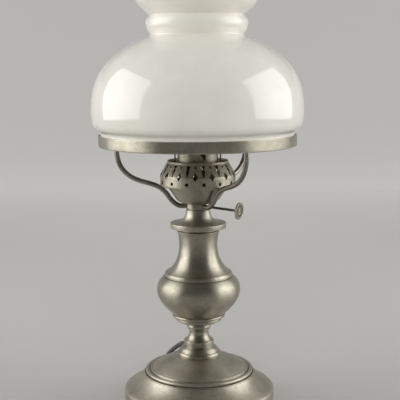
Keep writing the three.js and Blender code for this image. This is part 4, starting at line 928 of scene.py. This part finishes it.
def blown_shade():
    lip, fold, wide, dome, shoulder, notch = 93.3, 100.7, 101.9, 91.0, 46.0, 45.1
    bead, throat, cup, mouth, wall = 52.7, 44.5, 58.3, 57.3, 3.0
    lip_top, fold_up, wide_up, low_bend, high_bend, shoulder_up = 9.2, 19.7, 31.0, 61.5, 83.4, 102.0
    notch_up, bead_up, throat_up, cup_up, tall = 103.7, 115.3, 120.7, 137.0, SHADE_TOP - SHADE_LOW
    outline = (
        Outline(SHADE_LOW, lip - wall, 0, 1.3).to(lip, 0, 1.3).to(lip, lip_top, 0.5)
        .quad(lip - 0.1, lip_top + 2.6, lip + 2.2, lip_top + 3.9, 6)
        .quad(lip + 6.0, lip_top + 5.9, fold, fold_up, 8)
        .quad(wide - 0.1, fold_up + 5.1, wide, wide_up, 8)
        .cubic(wide, low_bend, dome, high_bend, shoulder, shoulder_up, 44)
        .quad(shoulder - 1.5, shoulder_up + 0.6, notch, notch_up, 5)
        .quad(bead, bead_up, throat, throat_up, 18, 0.3)
        .quad(cup - 0.3, throat_up + 9.7, cup, cup_up, 14)
        .quad(cup + 0.3, cup_up + 8.0, mouth, tall, 8, 1.3)
        .to(mouth - wall, tall, 1.3).quad(cup - wall, cup_up + 6, cup - wall, cup_up, 6)
        .quad(cup - 0.3 - wall, throat_up + 11.0, throat - wall, throat_up + 0.4, 10)
        .quad(bead - wall, bead_up, notch - wall, notch_up, 12)
        .quad(shoulder - 1.4 - wall, shoulder_up, shoulder - wall, shoulder_up - wall, 4)
        .cubic(dome - wall, high_bend - wall, wide - wall, low_bend, wide - wall, wide_up, 30)
        .quad(wide - wall, fold_up + 5.1, fold - wall, fold_up, 6)
        .quad(lip + 6.0 - wall, lip_top + 6.4, lip + 2.2 - wall, lip_top + 5.2, 6)
        .quad(lip - wall, lip_top + 4.2, lip - wall, lip_top, 5)
    )
    bm = turned_mesh(outline.rounded(longest=4.0), 216)
    # Four seed bubbles raise the front of the glass
    bubbles = ((-100.6, 321.5, 97.0), (-99.0, 316.1, 98.6), (-97.8, 311.5, 99.7), (-77.7, 318.8, 97.8))
    bubble_size = (0.9, 0.9, 1.0)
    for azimuth, height, reach in bubbles:
        egg(bm, Matrix.Translation(Vector((*polar(reach, azimuth), height)) * MM), *bubble_size)
    place(new_piece("blown_shade", bm, opal_blown), "shade", "opal_glass", "opal_shade")


# Winder knob and its shaft

def stamped_knob():
    # Thin disc: a notched rim, two raised rings, petals between them and a riveted centre
    radius, notch, notches, relief, root, sides = 8.2, 0.4, 16, 0.45, -0.1, 160
    petals, petal_ring, petal_size, hub = 12, 4.9, (1.15, 0.75, 0.4), 2.2
    rim = []
    for k in range(sides):
        dip = notch * (0.5 - 0.5 * math.cos(2 * math.pi * k * notches / sides)) ** 2
        rim.append(polar(radius - dip, 360 * k / sides))
    bm = prism_mesh(rim, KNOB_BACK, KNOB_FACE)
    for outer, inner in ((7.3, 6.5), (3.3, 2.7)):
        ring = (
            Outline(KNOB_FACE, inner, root).to(outer, root).to(outer - 0.1, relief - 0.1, 0.1)
            .to((outer + inner) / 2, relief, 0.2).to(inner + 0.1, relief - 0.1, 0.1)
        )
        turned_mesh(ring.rounded(), 96, bm)
    spot = Matrix.Translation((petal_ring * MM, 0, KNOB_FACE * MM))
    for k in range(petals):
        egg(bm, Matrix.Rotation(2 * math.pi * k / petals, 4, "Z") @ spot, *petal_size)
    rivet = Outline(KNOB_FACE, 0, root).to(1.5, root).to(1.5, 0.3, 0.3).to(0, 0.42)
    turned_mesh(rivet.rounded(), 48, bm)
    stub = Outline(KNOB_BACK, 0, -HUB_LENGTH).to(hub, -HUB_LENGTH, 0.4).to(hub, 0.1).to(0, 0.1)
    turned_mesh(stub.rounded(), 64, bm)
    place(new_piece("stamped_knob", bm, pewter_stamped, WINDER_TURN), "winder", "pewter", "winder_knob")


def knob_shaft():
    radius, start, end = 1.2, 2.0, KNOB_BACK - HUB_LENGTH
    outline = Outline(0, 0, start).to(radius, start, 0.2).to(radius, end, 0.1).to(0, end)
    turned_piece("knob_shaft", outline, steel_dark, "steel", "winder_shaft", 2.0, 40, WINDER_TURN, "winder")


# Lampholder and bulb

def holder_cup():
    wall, sheet, floor, tall = 18.2, 1.6, 2.5, CORE_LOW - DECK_TOP
    outline = (
        Outline(DECK_TOP, TUBE_HOLE, 0).to(wall, 0, 1.6).to(wall, tall, 0.3).to(wall - sheet, tall, 0.3)
        .to(wall - sheet, floor, 0.6).to(TUBE_HOLE, floor)
    )
    turned_piece("holder_cup", outline, phenolic_moulded, "phenolic", "holder_base", sides=96)


def glazed_core():
    wall, spigot, pocket, sunk = 18.2, 16.3, 14.3, -3.0
    floor, tall = SHELL_LOW - CORE_LOW, CORE_TOP - CORE_LOW
    outline = (
        Outline(CORE_LOW, 0, sunk).to(spigot, sunk, 0.3).to(spigot, 0).to(wall, 0, 0.5)
        .to(wall, tall, 1.2).to(pocket, tall, 0.8).to(pocket, floor, 0.6).to(0, floor)
    )
    turned_piece("glazed_core", outline, porcelain_glazed, "porcelain", "holder_core", sides=96)


def rolled_thread(low, high, crest, root, sheet):
    """Outline of four rolled screw turns from low to high, with an even sheet behind."""
    turns, steps = 4, 32
    face = []
    for i in range(steps + 1):
        swell = 0.5 + 0.5 * math.cos(2 * math.pi * turns * i / steps)
        face.append((mix(root, crest, swell), mix(low, high, i / steps)))
    return face + [(r - sheet, z) for r, z in reversed(face)]


def threaded_shell():
    bm = turned_mesh(rolled_thread(SHELL_LOW, SHELL_TOP, 14.0, 13.75, 0.3), 96)
    place(new_piece("threaded_shell", bm, brass_machined), "lamp", "brass", "screw_shell")


def ribbed_bulb_cap():
    crest, root, floor, sheet, hole = 13.2, 12.5, 9.7, 0.6, 2.3
    taper_top = BULB_CAP_LOW + 3.5
    inside = BULB_CAP_LOW + sheet
    points = [(hole, BULB_CAP_LOW), (floor, BULB_CAP_LOW)]
    points += rolled_thread(taper_top, BULB_CAP_TOP, crest, root, sheet)
    points += [(floor, inside), (hole, inside)]
    bm = turned_mesh(points, 96)
    place(new_piece("ribbed_bulb_cap", bm, steel_plated), "bulb", "steel", "bulb_cap")


def frosted_bulb():
    neck, wide, wall, ball = 11.8, 27.5, 0.9, 15.1
    neck_top, low_bend, high_bend, wide_up, tall = 4.3, 21.195, 25.905, 47.1, BULB_TOP - BULB_LOW
    outline = (
        Outline(BULB_LOW, neck - wall, 0).to(neck, 0).to(neck, neck_top)
        .cubic(neck, low_bend, wide, high_bend, wide, wide_up, 16)
        .cubic(wide, wide_up + ball, ball, tall, 0, tall, 18).to(0, tall - wall)
        .cubic(ball - wall, tall - wall, wide - wall, wide_up + ball, wide - wall, wide_up, 18)
        .cubic(wide - wall, high_bend, neck - wall, low_bend, neck - wall, neck_top, 16)
    )
    turned_piece("frosted_bulb", outline, bulb_frosted, "bulb_glass", "bulb_glass", sides=96, body="bulb")


spun_base()
felt_pad()
turned_foot()
turned_neck()
spun_bowl()
spun_vase_neck()
turned_cap()
turned_collar()
spun_funnel()
pierced_gallery()
vented_sleeve()
spring_clip("right", 0.0)
spring_clip("left", 180.0)
for arm_side, arm_azimuth in ARM_AZIMUTHS.items():
    bent_arm(arm_side, arm_azimuth)
rolled_ring()
blown_shade()
stamped_knob()
knob_shaft()
holder_cup()
glazed_core()
threaded_shell()
ribbed_bulb_cap()
frosted_bulb()

# Pieces that keep their shape from the frame, hidden in the stack or small
KEPT = {
    iron_cast: ["base_ballast"],
    steel_plated: [
        "base_washer", "base_nut", "base_spacer", "stem_tube", "cap_nut", "holder_nipple", "nipple_nut",
    ],
    brass_machined: [
        "switch_rotor", "tip_spring", "terminal_screw_live", "terminal_screw_neutral", "bulb_tip",
    ],
    phenolic_moulded: ["switch_body"],
    rubber_sheath: ["lead_lower", "lead_upper"],
}
for kept_finish, names in KEPT.items():
    for kept_name in names:
        nodes[kept_name].data.materials.clear()
        nodes[kept_name].data.materials.append(kept_finish)


# Floor and backdrop in one sweep, and the lights

def floor_sweep():
    # Matt paper in a round sweep: an even pale grey, held up at a distance by a little light of its own
    made, node, where = new_material("paper_rolled")
    tooth = node("TexNoise", {"Vector": where, "Scale": repeat(3.0), "Detail": 2.0})
    tone = node("Mix", {"Factor": tooth, 6: srgb("ACABA8"), 7: srgb("B1B0AD")}, data_type="RGBA")
    back = node("SeparateXYZ", {"Vector": where}).outputs["Y"]
    away = node("VectorMath", {0: where}, operation="LENGTH")
    around = node("MapRange", {"Value": away, "From Min": 0.9, "From Max": 2.6, "To Max": 0.44})
    unshaded = node("MapRange", {"Value": back, "From Min": -2.0, "From Max": -0.2, "To Min": 0.14})
    beside = node("Math", {0: around, 1: unshaded}, operation="MULTIPLY")
    behind = node("MapRange", {"Value": back, "From Min": -0.3, "From Max": 1.6, "To Max": 0.44})
    far = node("Math", {0: beside, 1: behind}, operation="MAXIMUM")
    ray = node("LightPath").outputs
    mirrored = node("Math", {
        0: ray["Is Glossy Ray"], 1: ray["Is Transmission Ray"]}, operation="MAXIMUM")
    seen = node("Math", {0: ray["Is Camera Ray"], 1: mirrored}, operation="MAXIMUM")
    lift = node("Math", {0: seen, 1: far}, operation="MULTIPLY")
    finish(made, {
        "Base Color": tone, "Roughness": 0.9, "Emission Color": srgb("F4F3F0"), "Emission Strength": lift})
    middle, reach, bend, top, sides = 1.0, 2.4, 0.6, 1.0, 96
    profile = [(middle, 0.0)]
    for down, out in (polar(bend, a) for a in range(0, 91, 10)):
        profile.append((reach + out, bend - down))
    profile.append((reach + bend, top))
    bm = bmesh.new()
    rings = [[bm.verts.new((*polar(r, 360 * k / sides), z)) for k in range(sides)] for r, z in profile]
    bm.faces.new(rings[0])
    for low, high in zip(rings, rings[1:]):
        for k in range(sides):
            m = (k + 1) % sides
            bm.faces.new((low[k], low[m], high[m], high[k]))
    new_piece("floor_sweep", bm, made)


def softbox(name, where, toward, wide, high, power, spread=180):
    lamp = bpy.data.lights.new(name, "AREA")
    lamp.shape = "RECTANGLE"
    lamp.size = wide
    lamp.size_y = high
    lamp.energy = power
    lamp.spread = math.radians(spread)
    holder = bpy.data.objects.new(name, lamp)
    bpy.context.scene.collection.objects.link(holder)
    holder.location = where
    holder.rotation_euler = (Vector(toward) - Vector(where)).to_track_quat("-Z", "Y").to_euler()
    return holder


floor_sweep()
# Narrowed and held off the floor, so that the side lights draw no edge across it
softbox("softbox_left", (-1.0, -0.05, 0.6), (0, 0, 0.35), 1.15, 1.0, 4.78, 120)
softbox("softbox_right", (1.0, -0.05, 0.6), (0, 0, 0.35), 1.15, 1.0, 4.43, 120)
softbox("softbox_top", (0.0, 0.9, 1.6), (0, 0, 0.35), 0.8, 0.5, 2.0)
# Broad fill from the front, too even to show in gloss
softbox("front_fill", (0.0, -1.6, 0.75), (0, 0, 0.3), 1.4, 1.0, 9.5).visible_glossy = False

# Soft room light, brightest above and behind the lamp
world = bpy.data.worlds.new("studio")
world.use_nodes = True
room = world.node_tree
direction = add(room, "TexCoord").outputs["Generated"]
rise = add(room, "VectorMath", {0: direction, 1: (0.0, 0.5, 0.87)}, operation="DOT_PRODUCT")
overhead = add(room, "MapRange", {
    "Value": rise, "From Min": 0.15, "From Max": 0.95, "To Min": 0.03, "To Max": 0.36})
room.links.new(overhead.outputs["Result"], room.nodes["Background"].inputs["Strength"])
room.nodes["Background"].inputs["Color"].default_value = srgb("FFFFFF")
bpy.context.scene.world = world
bpy.context.scene.view_settings.view_transform = "Standard"
